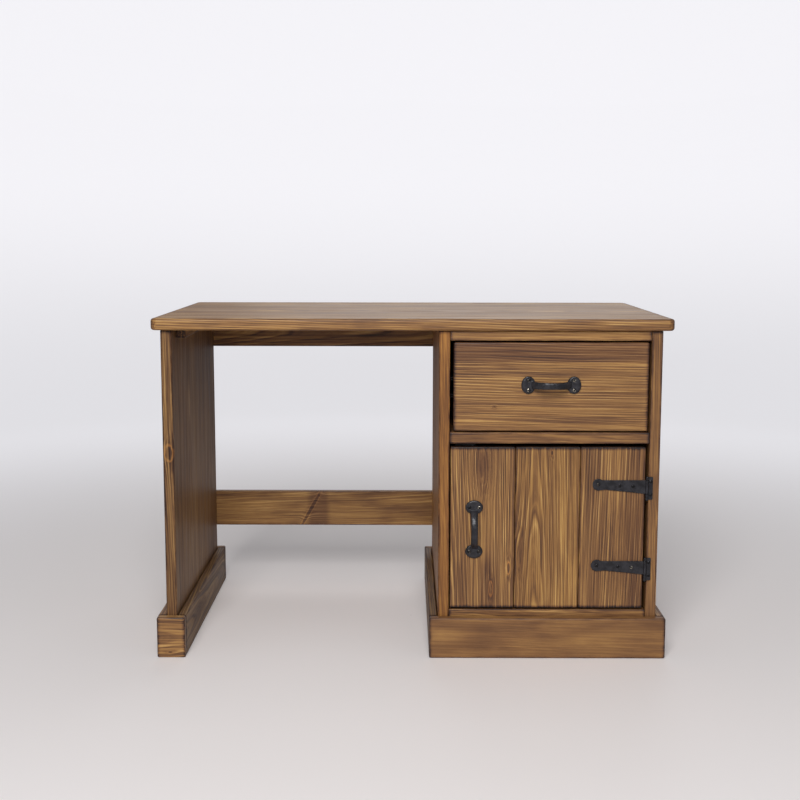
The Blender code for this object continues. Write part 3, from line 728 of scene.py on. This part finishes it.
def ironMaterial():
    bench = Bench("hammeredIron")
    place = bench.place()
    mottle = bench.cloud(place, (60.0,) * 3, 3.0, 0.6)
    grit = bench.cloud(place, (900.0,) * 3, 3.0, 0.6)
    rub = bench.cloud(place, (140.0,) * 3, 3.0, 0.7, 3.0)
    colour = bench.mixed(bench.fade(mottle, 0.35, 0.65), tint(28, 27, 31), tint(48, 47, 52))
    colour = bench.mixed(bench.fade(rub, 0.66, 0.8, 0.0, 0.4), colour, tint(74, 70, 70))
    rough = bench.fade(mottle, 0.3, 0.7, 0.3, 0.46)
    bench.surface({"Base Color": colour, "Roughness": rough, "Metallic": 0.3})
    bench.relief(bench.total(grit, bench.times(mottle, 2.0)), 0.4, 0.25 * mm)
    return bench.material


def screwMaterial(name, bare):
    bench = Bench(name)
    place = bench.place()
    rub = bench.cloud(place, (380.0,) * 3, 2.0, 0.6)
    # patches of the bare colour where the paint is worn; on the bright heads these also paint in glints
    colour = bench.mixed(bench.fade(rub, 0.48, 0.62), tint(34, 33, 35), bare)
    rough = bench.fade(rub, 0.4, 0.6, 0.4, 0.24)
    bench.surface({"Base Color": colour, "Roughness": rough, "Metallic": 0.7})
    return bench.material


# zinc plate darkened so that the slides and catch seen in the drawer's gaps paint in the shade there
def shadeDarkZincMaterial():
    bench = Bench("darkZincPlate")
    place = bench.place()
    brushed = bench.cloud(place, (900.0, 12.0, 900.0), 2.0, 0.6)
    spangle = bench.cloud(place, (90.0, 60.0, 90.0), 2.0, 0.6)
    colour = bench.mixed(bench.fade(spangle, 0.35, 0.65), tint(52, 53, 56), tint(74, 74, 76))
    rough = bench.fade(brushed, 0.3, 0.7, 0.34, 0.48)
    bench.surface({"Base Color": colour, "Roughness": rough, "Metallic": 0.85})
    bench.relief(brushed, 0.15, 0.1 * mm)
    return bench.material


def fibreMaterial():
    bench = Bench("fibreboard")
    place = bench.place()
    cloud = bench.cloud(place, (14.0,) * 3, 4.0, 0.6)
    fleck = bench.cloud(place, (420.0,) * 3, 3.0, 0.7)
    value = bench.total(0.5, bench.swing(cloud, 0.5), bench.swing(fleck, 0.9))
    colour = bench.ramp(value, [(0.1, tint(70, 50, 36)), (0.5, tint(108, 80, 58)), (0.9, tint(146, 114, 86))])
    bench.surface({"Base Color": colour, "Roughness": bench.fade(fleck, 0.3, 0.7, 0.5, 0.64)})
    bench.relief(fleck, 0.2, 0.2 * mm)
    return bench.material


# screws, turned, with a cross recess

screws = {
    "head": 3.9 * mm,
    "rise": 1.7 * mm,
    "shank": 1.55 * mm,
    "length": 15 * mm,
    "pitch": 1.4 * mm,
    "recess": (2.4 * mm, 0.55 * mm, 1.5 * mm),
    "hole": 2.0 * mm,
    "clear": 0.3 * mm,
    "sunkInPlate": 0.9 * mm,
    "sunkInStrap": 0.3 * mm,
    "railDrop": 0.27,
    "bare": {"black": tint(46, 44, 46), "rubbed": tint(88, 82, 76), "bright": tint(172, 164, 150)},
    # heads with bare metal showing; the bright and rubbed ones are set where glints show, so they also paint
    # in those glints
    "wear": {
        "drawer_handle_screw_1": "bright",
        "drawer_handle_screw_2": "rubbed",
        "drawer_handle_screw_3": "bright",
        "drawer_handle_screw_4": "bright",
        "door_handle_screw_1": "rubbed",
        "door_handle_screw_2": "rubbed",
        "door_handle_screw_4": "bright",
        "hinge_upper_screw_3": "rubbed",
        "hinge_lower_screw_1": "bright",
    },
}


def screwMesh(name, domed):
    head, rise, shank = screws["head"], screws["rise"], screws["shank"]
    profile = [(0.25 * mm, -screws["length"])]
    turns = int((screws["length"] - 4 * mm) / screws["pitch"])
    for turn in range(turns):  # thread crests and roots
        z = -screws["length"] + 1.5 * mm + turn * screws["pitch"]
        profile += [(shank * 0.72, z), (shank, z + screws["pitch"] * 0.5)]
    profile.append((shank * 0.8, -2.4 * mm))
    if domed:
        rim = 0.3 * mm
        profile += [(shank * 0.8, 0.0), (head, 0.0), (head, rim)]
        for angle in (18, 36, 54, 70, 84):
            lean = math.radians(angle)
            profile.append((head * math.cos(lean), rim + (rise - rim) * math.sin(lean)))
    else:
        profile += [(head, -0.25 * mm), (head, 0.0), (head * 0.3, 0.0)]
    body = loose(name, turned(name, profile, 28))
    long, wide, deep = screws["recess"]
    cross = [(long, wide), (wide, wide), (wide, long), (-wide, long), (-wide, wide), (-long, wide),
             (-long, -wide), (-wide, -wide), (-wide, -long), (wide, -long), (wide, -wide), (long, -wide)]
    top = rise + mm if domed else mm
    rings = [[(x * s, y * s, z) for x, y in cross] for z, s in ((top - mm - deep, 0.45), (top, 1.0))]
    mesh = carve(body, [loose("crossTool", loft("crossTool", rings))])
    bpy.data.objects.remove(body)
    mesh.shade_smooth()
    mesh.set_sharp_from_angle(angle=math.radians(32))
    return mesh


def facing(place, way, spin=0.0):
    turn = Vector(way).to_track_quat("Z", "Y").to_matrix().to_4x4()
    return Matrix.Translation(place) @ turn @ Matrix.Rotation(spin, 4, "Z")


def screwHoles(piece, places, way):
    tools = []
    wide, narrow = screws["head"] + screws["clear"], screws["hole"]
    profile = [(narrow, -screws["length"] - mm), (narrow, -3 * mm), (wide, -0.3 * mm), (wide, 2 * mm)]
    for place in places:
        tools.append(loose("screwHole", turned("screwHole", profile, 24), facing(place, way)))
    carve(piece, tools)


# forged pieces: hammered skins over a remeshed body

def forge(piece, voxel, dent, size, seed):
    step = piece.modifiers.new("skin", "REMESH")
    step.mode = "VOXEL"
    step.voxel_size = voxel
    even = piece.modifiers.new("even", "SMOOTH")
    even.factor = 0.5
    even.iterations = 3
    mesh = settle(piece)
    normals = [Vector(v.normal) for v in mesh.vertices]
    for vertex, normal in zip(mesh.vertices, normals):
        spot = vertex.co / size + Vector((seed, seed * 0.3, 0))
        near = noise.voronoi(spot)[0][0]
        low = dent * (1 - min(1.0, near * 1.25) ** 2) + dent * 0.4 * noise.noise(spot * 0.4)
        vertex.co -= normal * max(0.0, low)
    mesh.shade_smooth()
    return mesh


handle = {
    "spacing": 101.5 * mm,
    "plate": (32.5 * mm, 40 * mm),
    "plateLayers": ((0.0, 0.0), (0.0, 2.0), (0.9, 3.1), (3.2, 4.3), (6.0, 4.5)),
    "plateUneven": 0.35 * mm,
    "root": 9 * mm,
    "reach": 29.5 * mm,
    "barWidth": 17.2 * mm,
    "barThickness": 6.2 * mm,
    "bow": 2.6,
    "screwSpacing": 22 * mm,
    "voxel": 0.6 * mm,
    "dent": 0.28 * mm,
}


def barPoint(share):
    foot = 4 * mm
    crest = handle["reach"] - handle["barThickness"] / 2
    half = handle["spacing"] / 2 - handle["root"]
    return half * share, foot + (crest - foot) * (1 - abs(share) ** handle["bow"])


def barRing(share, step):
    # one oval section of the bar, square to its middle line, a little slimmer at the crest
    x, z = barPoint(share)
    before, after = barPoint(share - step), barPoint(share + step)
    slope = math.atan2(after[1] - before[1], after[0] - before[0])
    wide = handle["barWidth"] / 2 * (0.9 + 0.1 * abs(share) ** 2)
    thick = handle["barThickness"] / 2
    ring = []
    for side in range(32):
        turn = math.tau * side / 32
        across = wide * math.copysign(abs(math.cos(turn)) ** 0.85, math.cos(turn))
        out = thick * math.copysign(abs(math.sin(turn)) ** 0.85, math.sin(turn))
        ring.append((x - out * math.sin(slope), across, z + out * math.cos(slope)))
    return ring


def handleMesh():
    steps = 48
    bar = loose("bowHandle", loft("bar", [barRing(2 * i / steps - 1, 1 / steps) for i in range(steps + 1)]))
    plates, sinks = [], []
    for end in (-1, 1):
        centre = end * handle["spacing"] / 2
        rings = []
        for inset, height in handle["plateLayers"]:
            ring = []
            for side in range(56):
                turn = math.tau * side / 56
                spot = Vector((math.cos(turn) * 2, math.sin(turn) * 2, end * 5))
                uneven = handle["plateUneven"] * (noise.noise(spot) - 0.6)
                short = handle["plate"][0] / 2 - inset * mm + uneven
                long = handle["plate"][1] / 2 - inset * mm + uneven
                ring.append((centre + short * math.cos(turn), long * math.sin(turn), height * mm))
            rings.append(ring)
        plates.append(loose("plate", loft("plate", rings)))
        for side in (-1, 1):
            place = (centre, side * handle["screwSpacing"] / 2)
            cone = [circle(2.1 * mm, -mm, 28, place), circle(2.1 * mm, 2.6 * mm, 28, place),
                    circle(4.5 * mm, 4.2 * mm, 28, place), circle(4.5 * mm, 8 * mm, 28, place)]
            sinks.append(loose("sink", loft("sink", cone)))
    carve(bar, plates, "UNION")
    carve(bar, sinks)
    mesh = forge(bar, handle["voxel"], handle["dent"], 5 * mm, 1.0)
    bpy.data.objects.remove(bar)
    return mesh


hinge = {
    "sheet": 2.5 * mm,
    "knuckle": 3.5 * mm,
    "pin": 1.6 * mm,
    "length": 122 * mm,
    "top": 18.5 * mm,
    "wide": 31.5 * mm,
    "neck": 22.5 * mm,
    "lobe": 13.5 * mm,
    "lobeRise": 3 * mm,
    "neckReach": 18 * mm,
    "plateHeight": 52 * mm,
    "plateWidth": 9.5 * mm,
    "screwDrop": 15 * mm,
    "voxel": 0.5 * mm,
    "dent": 0.16 * mm,
}


def slab(name, outline, low, high):
    # an outline seen from the front, as a sheet between two depths with its rims eased
    middle = Vector((sum(x for x, z in outline), sum(z for x, z in outline))) / len(outline)
    rings = []
    for depth, inset in ((low, 0.7 * mm), (low + 0.5 * mm, 0.0), (high, 0.0)):
        ring = []
        for x, z in outline:
            inward = (middle - Vector((x, z))).normalized() * inset
            ring.append((x + inward.x, depth, z + inward.y))
        rings.append(ring)
    return loft(name, rings)


def knuckleTool(name, radius, low, high):
    return loose(name, turned(name, [(radius, low), (radius, high)], 36))


def strapMesh():
    top, bottom = hinge["top"], hinge["top"] - hinge["wide"]
    lobeX = -hinge["length"] + hinge["lobe"]
    lobeZ = top + hinge["lobeRise"] - hinge["lobe"]
    start = math.asin((top - lobeZ) / hinge["lobe"])
    outline = [(x * mm, top) for x in range(0, -90, -6)]
    for step in range(29):
        turn = start + (math.radians(285) - start) * step / 28
        outline.append((lobeX + hinge["lobe"] * math.cos(turn), lobeZ + hinge["lobe"] * math.sin(turn)))
    neckX, neckZ = lobeX + hinge["neckReach"], top - hinge["neck"]
    for step in range(16):
        share = step / 15
        outline.append((neckX * (1 - share), neckZ + (bottom - neckZ) * share))
    uneven = []
    for x, z in outline:
        dip = 0.5 * mm * noise.noise(Vector((x * 60, z * 60, 4)))
        uneven.append((x, z - math.copysign(abs(dip), z - lobeZ)))
    back = hinge["knuckle"]
    body = loose("strap", slab("strap", uneven, back - hinge["sheet"], back))
    carve(body, [knuckleTool("knuckle", hinge["knuckle"] - 0.05 * mm, bottom, top)], "UNION")
    carve(body, [knuckleTool("pinHole", hinge["pin"] + 0.4 * mm, -0.1, 0.1)])
    mesh = forge(body, hinge["voxel"], hinge["dent"], 6 * mm, 7.0)
    bpy.data.objects.remove(body)
    return mesh


def plateMesh():
    half, near = hinge["plateHeight"] / 2, hinge["knuckle"] + 0.6 * mm
    upper, lower = hinge["top"] + 0.6 * mm, hinge["top"] - hinge["wide"] - 0.6 * mm
    far, back = near + hinge["plateWidth"], hinge["knuckle"]
    outline = [(far, z * mm) for z in range(-25, 26, 5)]
    outline = [(near, -half), (far - 2 * mm, -half), *outline, (far - 2 * mm, half), (near, half)]
    body = loose("plateLeaf", slab("plateLeaf", outline, back - hinge["sheet"], back))
    for low, high in ((upper, half), (-half, lower)):
        arm = [(0.0, low), (near + 2 * mm, low), (near + 2 * mm, high), (0.0, high)]
        rings = [[(x, y, z) for x, z in arm] for y in (back - hinge["sheet"], back - 0.02 * mm)]
        carve(body, [loose("arm", loft("arm", rings))], "UNION")
        carve(body, [knuckleTool("knuckle", hinge["knuckle"] - 0.05 * mm, low, high)], "UNION")
    carve(body, [knuckleTool("pinHole", hinge["pin"] + 0.4 * mm, -0.1, 0.1)])
    mesh = forge(body, hinge["voxel"], hinge["dent"], 6 * mm, 11.0)
    bpy.data.objects.remove(body)
    return mesh


def pinMesh():
    half = hinge["plateHeight"] / 2 + 0.3 * mm
    upper = [(1.6, 0.0), (2.8, 0.05), (3.0, 0.4), (2.7, 0.9), (1.7, 1.2)]
    profile = [(r * mm, -half - z * mm) for r, z in upper[::-1]] + [(r * mm, half + z * mm) for r, z in upper]
    return turned("hingePin", profile, 28)


def makeHandles(iron):
    grip = handleMesh()
    for node, turn in (("drawer_handle", Matrix()), ("door_handle", Matrix.Rotation(math.pi / 2, 4, "Z"))):
        low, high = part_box(node)
        place = Vector(((low.x + high.x) / 2, high.y, (low.z + high.z) / 2))
        stand = Matrix.Translation(place) @ Matrix.Rotation(math.pi / 2, 4, "X") @ turn
        standFor(node, grip, stand, iron)
    print("handles forged")


def makeHinges(iron, domed, head):
    meshes = {"strap": strapMesh(), "plate": plateMesh(), "pin": pinMesh()}
    for which in ("upper", "lower"):
        low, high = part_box(f"hinge_pin_{which}")
        axis = (low + high) / 2
        for kind, mesh in meshes.items():
            standFor(f"hinge_{kind}_{which}", mesh, Matrix.Translation(axis), iron)
        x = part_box(f"hinge_plate_{which}")[1].x - hinge["plateWidth"] / 2
        y = axis.y + hinge["knuckle"] - hinge["sheet"] + 0.2 * mm
        for side, end in ((-1, "Low"), (1, "High")):
            turn = facing((x, y, axis.z + side * hinge["screwDrop"]), (0, -1, 0), side)
            show(f"hingePlateScrew{which.capitalize()}{end}", domed.copy(), turn, head)
    print("hinges forged")


def makeScrews(made, domed, heads):
    # screws through the handles and straps, each in a hole of its own
    bored = {"drawer_front": [], "door_plank_1": [], "door_plank_3": []}
    into = {"drawer_handle": "drawer_front", "door_handle": "door_plank_1"}
    for count, node in enumerate(sorted(n for n in bodyOf if "_screw_" in n)):
        low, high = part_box(node)
        x, z = (low.x + high.x) / 2, (low.z + high.z) / 2
        where = into.get(node.split("_screw_")[0], "door_plank_3")
        sunk = screws["sunkInStrap"] if where == "door_plank_3" else screws["sunkInPlate"]
        place = (x, low.y + screws["rise"] + sunk, z)
        head = heads[screws["wear"].get(node, "black")]
        turn = facing(place, (0, -1, 0), count * 0.7)
        standFor(node, domed.copy(), turn, head)
        bored[where].append((x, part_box(where)[0].y, z))
    for node, places in bored.items():
        screwHoles(made[node], places, (0, -1, 0))


def makeRailScrews(made, flush, head):
    # two flush screws through each end of the back rails
    middles = [sum(corner.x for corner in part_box(node)) / 2 for node in ("left_panel", "cabinet_side_left")]
    for node in ("back_top_rail", "back_stretcher"):
        low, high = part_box(node)
        middle, drop = (low.z + high.z) / 2, (high.z - low.z) * screws["railDrop"]
        places = [(x, high.y, middle + way * drop) for x in middles for way in (-1, 1)]
        screwHoles(made[node], places, (0, 1, 0))
        for count, (x, y, z) in enumerate(places):
            turn = facing((x, y - 0.4 * mm, z), (0, 1, 0), count)
            show(f"{pieceName(node)}Screw{count + 1}", flush.copy(), turn, head)
    print("screws set")


def makeHardware(made):
    iron = ironMaterial()
    heads = {wear: screwMaterial(wear + "ScrewIron", bare) for wear, bare in screws["bare"].items()}
    domed, flush = screwMesh("domedScrew", True), screwMesh("flushScrew", False)
    makeHandles(iron)
    makeHinges(iron, domed, heads["black"])
    makeScrews(made, domed, heads)
    makeRailScrews(made, flush, heads["rubbed"])


# drawer slides, the catch and the cabinet's back

slides = {
    "sheet": 1.2 * mm,
    "bend": 2.4 * mm,
    "rib": 1.1 * mm,
    "ribShare": 0.3,
    "holes": (0.08, 0.5, 0.92),
    "holeRadius": 2.2 * mm,
    "drill": 5 * mm,
}


def channelOutline(height, depth, way):
    # a folded channel seen along its length, with a rib pressed down the middle of its web
    sheet, bend, half = slides["sheet"], slides["bend"], height / 2
    turns = [math.radians(angle) for angle in (90, 112, 135, 158, 180)]
    outer, inner = [
        [(depth, half - skin)] + [(bend + r * math.cos(t), half - bend + r * math.sin(t)) for t in turns]
        for skin, r in ((0.0, bend), (sheet, bend - sheet))
    ]
    rib = [(0.0, half * (slides["ribShare"] + 0.08)), (slides["rib"], half * slides["ribShare"])]
    outer += rib
    inner += [(x + sheet, z) for x, z in rib]
    outline = outer + [(x, -z) for x, z in outer[::-1]] + [(x, -z) for x, z in inner] + inner[::-1]
    return [(way * x, z) for x, z in outline]


def makeSlides(shadeDarkZinc):
    for side in ("left", "right"):
        for part in ("outer", "inner"):
            node = f"slide_{side}_{part}"
            low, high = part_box(node)
            way = 1 if (side == "left") == (part == "outer") else -1
            web = low.x if way > 0 else high.x
            outline = channelOutline(high.z - low.z, high.x - low.x, way)
            middle = (low.z + high.z) / 2
            rings = [[(web + x, y, middle + z) for x, z in outline] for y in (low.y, high.y)]
            piece = standFor(node, loft(node, rings), Matrix(), shadeDarkZinc)
            tools = []
            for share in slides["holes"]:
                place = (web, low.y + share * (high.y - low.y), middle)
                drill = [(slides["holeRadius"], end * slides["drill"]) for end in (-1, 1)]
                tools.append(loose("slideHole", turned("slideHole", drill, 24), facing(place, (1, 0, 0))))
            carve(piece, tools)
            piece.data.set_sharp_from_angle(angle=math.radians(30))


catch = {
    "arris": 1.2 * mm,
    "rim": (3 * mm, 2 * mm),
    "mouthDepth": 1.6 * mm,
    "mouthArris": 0.4 * mm,
    "pole": (0.4 * mm, 1.5 * mm, 0.7 * mm),
    "poleArris": 0.3 * mm,
    "poleApart": 8 * mm,
    "poleProud": 0.15 * mm,
    "plateArris": 0.6 * mm,
    "spacing": 20 * mm,
}


def makeCatch(shadeDarkZinc, black):
    low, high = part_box("magnetic_catch")
    half, spacing = (high - low) / 2, catch["spacing"]
    centre = Matrix.Translation((low + high) / 2)
    case = wornBlock("magneticCatch", tuple(half), catch["arris"], 0.1, 3, spacing)
    case = standFor("magnetic_catch", case, centre, shadeDarkZinc)
    opening = (half.x - catch["rim"][0], catch["mouthDepth"], half.z - catch["rim"][1])
    mouth = wornBlock("mouth", opening, catch["mouthArris"], 0.0, 1, spacing)
    front = Vector(((low.x + high.x) / 2, low.y, (low.z + high.z) / 2))
    carve(case, [loose("mouth", mouth, Matrix.Translation(front))])
    gap, deep, thin = catch["pole"]
    for count, way in enumerate((-1, 1)):
        mesh = wornBlock("catchPole", (opening[0] - gap, deep, thin), catch["poleArris"], 0.0, 2, spacing)
        spot = front + Vector((0, deep - catch["poleProud"], way * catch["poleApart"] / 2))
        show(f"catchPole{count + 1}", mesh, Matrix.Translation(spot), black, "desk")
    low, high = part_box("catch_plate")
    turn = Matrix.Translation((low + high) / 2)
    plate = wornBlock("catchPlate", tuple((high - low) / 2), catch["plateArris"], 0.1, 5, spacing)
    standFor("catch_plate", plate, turn, shadeDarkZinc)


backPanel = {
    "arris": 0.8 * mm,
    "pinHead": 1.6 * mm,
    "pinLength": 14 * mm,
    "pinInset": 7 * mm,
    "pinSpacing": 95 * mm,
}


def makeBackPanel(fibre, black):
    low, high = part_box("cabinet_back_panel")
    half = (high - low) / 2
    sheet = wornBlock("cabinetBackPanel", tuple(half), backPanel["arris"], 0.15, 7, 60 * mm)
    turn = Matrix.Translation((low + high) / 2)
    evenShading(standFor("cabinet_back_panel", sheet, turn, fibre))
    # panel pins down both sides, with their heads just sunk
    head, length, inset = backPanel["pinHead"], backPanel["pinLength"], backPanel["pinInset"]
    profile = [(0.5 * mm, -length), (0.7 * mm, -mm), (head, -0.2 * mm), (head * 0.9, 0.2 * mm)]
    count = round((high.z - low.z - 2 * inset) / backPanel["pinSpacing"])
    for row in range(count + 1):
        z = low.z + inset + (high.z - low.z - 2 * inset) * row / count
        for side, x in (("Left", low.x + inset), ("Right", high.x - inset)):
            pin = turned("panelPin", profile, 16)
            show(f"panelPin{side}{row + 1}", pin, facing((x, high.y, z), (0, 1, 0)), black)


# nails in the foot

nails = {
    "places": ((0.046, 0.58), (0.54, 0.5)),
    "radius": 2.2 * mm,
    "depth": 4 * mm,
    "sunk": 2 * mm,
    "profile": [(0.8 * mm, -14 * mm), (0.8 * mm, -1.2 * mm), (1.9 * mm, 0.0), (1.9 * mm, 0.4 * mm)],
}


def makeNails(made):
    # places are shares of the board's length, front to back, and of its height
    low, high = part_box("foot_inner_board")
    tools = []
    for count, (along, up) in enumerate(nails["places"]):
        place = (high.x, low.y + along * (high.y - low.y), low.z + up * (high.z - low.z))
        hole = [(nails["radius"], -nails["depth"]), (nails["radius"], mm)]
        tools.append(loose("nailHole", turned("nailHole", hole, 24), facing(place, (1, 0, 0))))
        mesh = turned("footNail", nails["profile"], 24)
        turn = facing(Vector(place) - Vector((nails["sunk"], 0, 0)), (1, 0, 0))
        iron = screwMaterial(f"nailIron{count + 1}", tint(70, 66, 64))
        show(f"footNail{count + 1}", mesh, turn, iron)
    carve(made["foot_inner_board"], tools)


def finishBoards(made):
    for piece in made.values():
        evenShading(piece)


# camera, floor and light

cameraPlace = {
    "at": (-0.0177, -3.0824, 0.9619),
    "turn": 0.197,
    "tilt": 82.35,
    "roll": 0.072,
    "lens": 56.67,
}

stage = {
    "floor": tint(236, 230, 228),
    "wall": tint(242, 241, 245),
    "wallPaint": tint(150, 150, 153),
    "radius": 3.6,
    "sweep": 1.0,
    "height": 3.4,
    "rise": 1.3,
    "meeting": (0.8, 3.4),
    "floorGlow": 0.1,
    "wallGlow": (0.7, 0.87),
    "wallSheen": (0.07, 0.44),
    "wallLight": 0.06,
    "world": 0.09,
    "lights": [
        ("keyLight", (-0.35, -3.5, 3.0), (1.7, 2.2), 140.0),
        ("fillLight", (2.6, -2.2, 2.0), (1.8, 1.8), 2.0),
        ("topLight", (0.0, 0.2, 3.6), (2.6, 2.0), 9.0),
        ("backLight", (0.3, 3.0, 2.2), (2.2, 1.6), 14.0),
    ],
}


def makeCamera():
    camera = loose("deskCamera", bpy.data.cameras.new("deskCamera"))
    camera.data.lens = cameraPlace["lens"]
    turn = Matrix.Rotation(math.radians(cameraPlace["turn"]), 4, "Z")
    tilt = Matrix.Rotation(math.radians(cameraPlace["tilt"]), 4, "X")
    roll = Matrix.Rotation(math.radians(cameraPlace["roll"]), 4, "Z")
    camera.matrix_world = Matrix.Translation(cameraPlace["at"]) @ turn @ tilt @ roll
    bpy.context.scene.camera = camera


def makeStage():
    # one turned sweep: a floor that curves up into a pale wall all round
    profile = [(0.001, 0.0), (stage["radius"], 0.0)]
    for step in range(1, 13):
        angle = math.radians(90 * step / 12)
        out = stage["radius"] + stage["sweep"] * math.sin(angle)
        profile.append((out, stage["sweep"] * (1 - math.cos(angle))))
    profile.append((stage["radius"] + stage["sweep"], stage["height"]))
    mesh = loft("studioSweep", [circle(radius, height, 96) for radius, height in profile], capped=False)
    bench = Bench("studioPaint")
    place = bench.place()
    height = bench.split(place)[2]
    out = bench.vector("LENGTH", place)
    # the camera, reflections and soft light each see the sweep at a brightness of their own
    rays = bench.add("LightPath").outputs
    # the wall glows dimmer towards the floor for the camera: painted shade at its foot
    seen = bench.fade(height, 0.0, stage["rise"], *stage["wallGlow"])
    sheen = bench.fade(height, 0.0, stage["rise"], *stage["wallSheen"])
    glow = bench.fade(rays["Is Glossy Ray"], 0.0, 1.0, seen, sheen)
    glow = bench.fade(rays["Is Diffuse Ray"], 0.0, 1.0, glow, stage["wallLight"])
    floorGlow = bench.times(rays["Is Camera Ray"], stage["floorGlow"])
    bench.surface({
        "Base Color": bench.mixed(bench.fade(out, *stage["meeting"]), stage["floor"], stage["wallPaint"]),
        "Roughness": 0.6,
        "Emission Color": stage["wall"],
        "Emission Strength": bench.fade(out, *stage["meeting"], floorGlow, glow),
    })
    floor = loose("studioSweep", mesh)
    mesh.materials.append(bench.material)
    world = bpy.data.worlds.new("studioWorld")
    bpy.context.scene.world = world
    world.use_nodes = True
    sky = world.node_tree.nodes["Background"].inputs
    sky["Color"].default_value = (0.93, 0.95, 1.0, 1.0)
    sky["Strength"].default_value = stage["world"]
    for name, place, size, power in stage["lights"]:
        lamp = bpy.data.lights.new(name, "AREA")
        lamp.shape = "RECTANGLE"
        lamp.size, lamp.size_y = size
        lamp.energy = power
        loose(name, lamp, facing(place, Vector(place) - Vector((0, 0, 0.45))))
    bpy.context.scene.view_settings.view_transform = "Standard"


makeCamera()
makeStage()
made = makeBoards()
print("boards made")
deskTopPiece = makeDeskTop()
makeHardware(made)
makeNails(made)
finishBoards({**made, "desktop": deskTopPiece})
shadeDarkZinc, black = shadeDarkZincMaterial(), screwMaterial("pinIron", tint(58, 56, 56))
makeSlides(shadeDarkZinc)
makeCatch(shadeDarkZinc, black)
makeBackPanel(fibreMaterial(), black)
print("materials given")
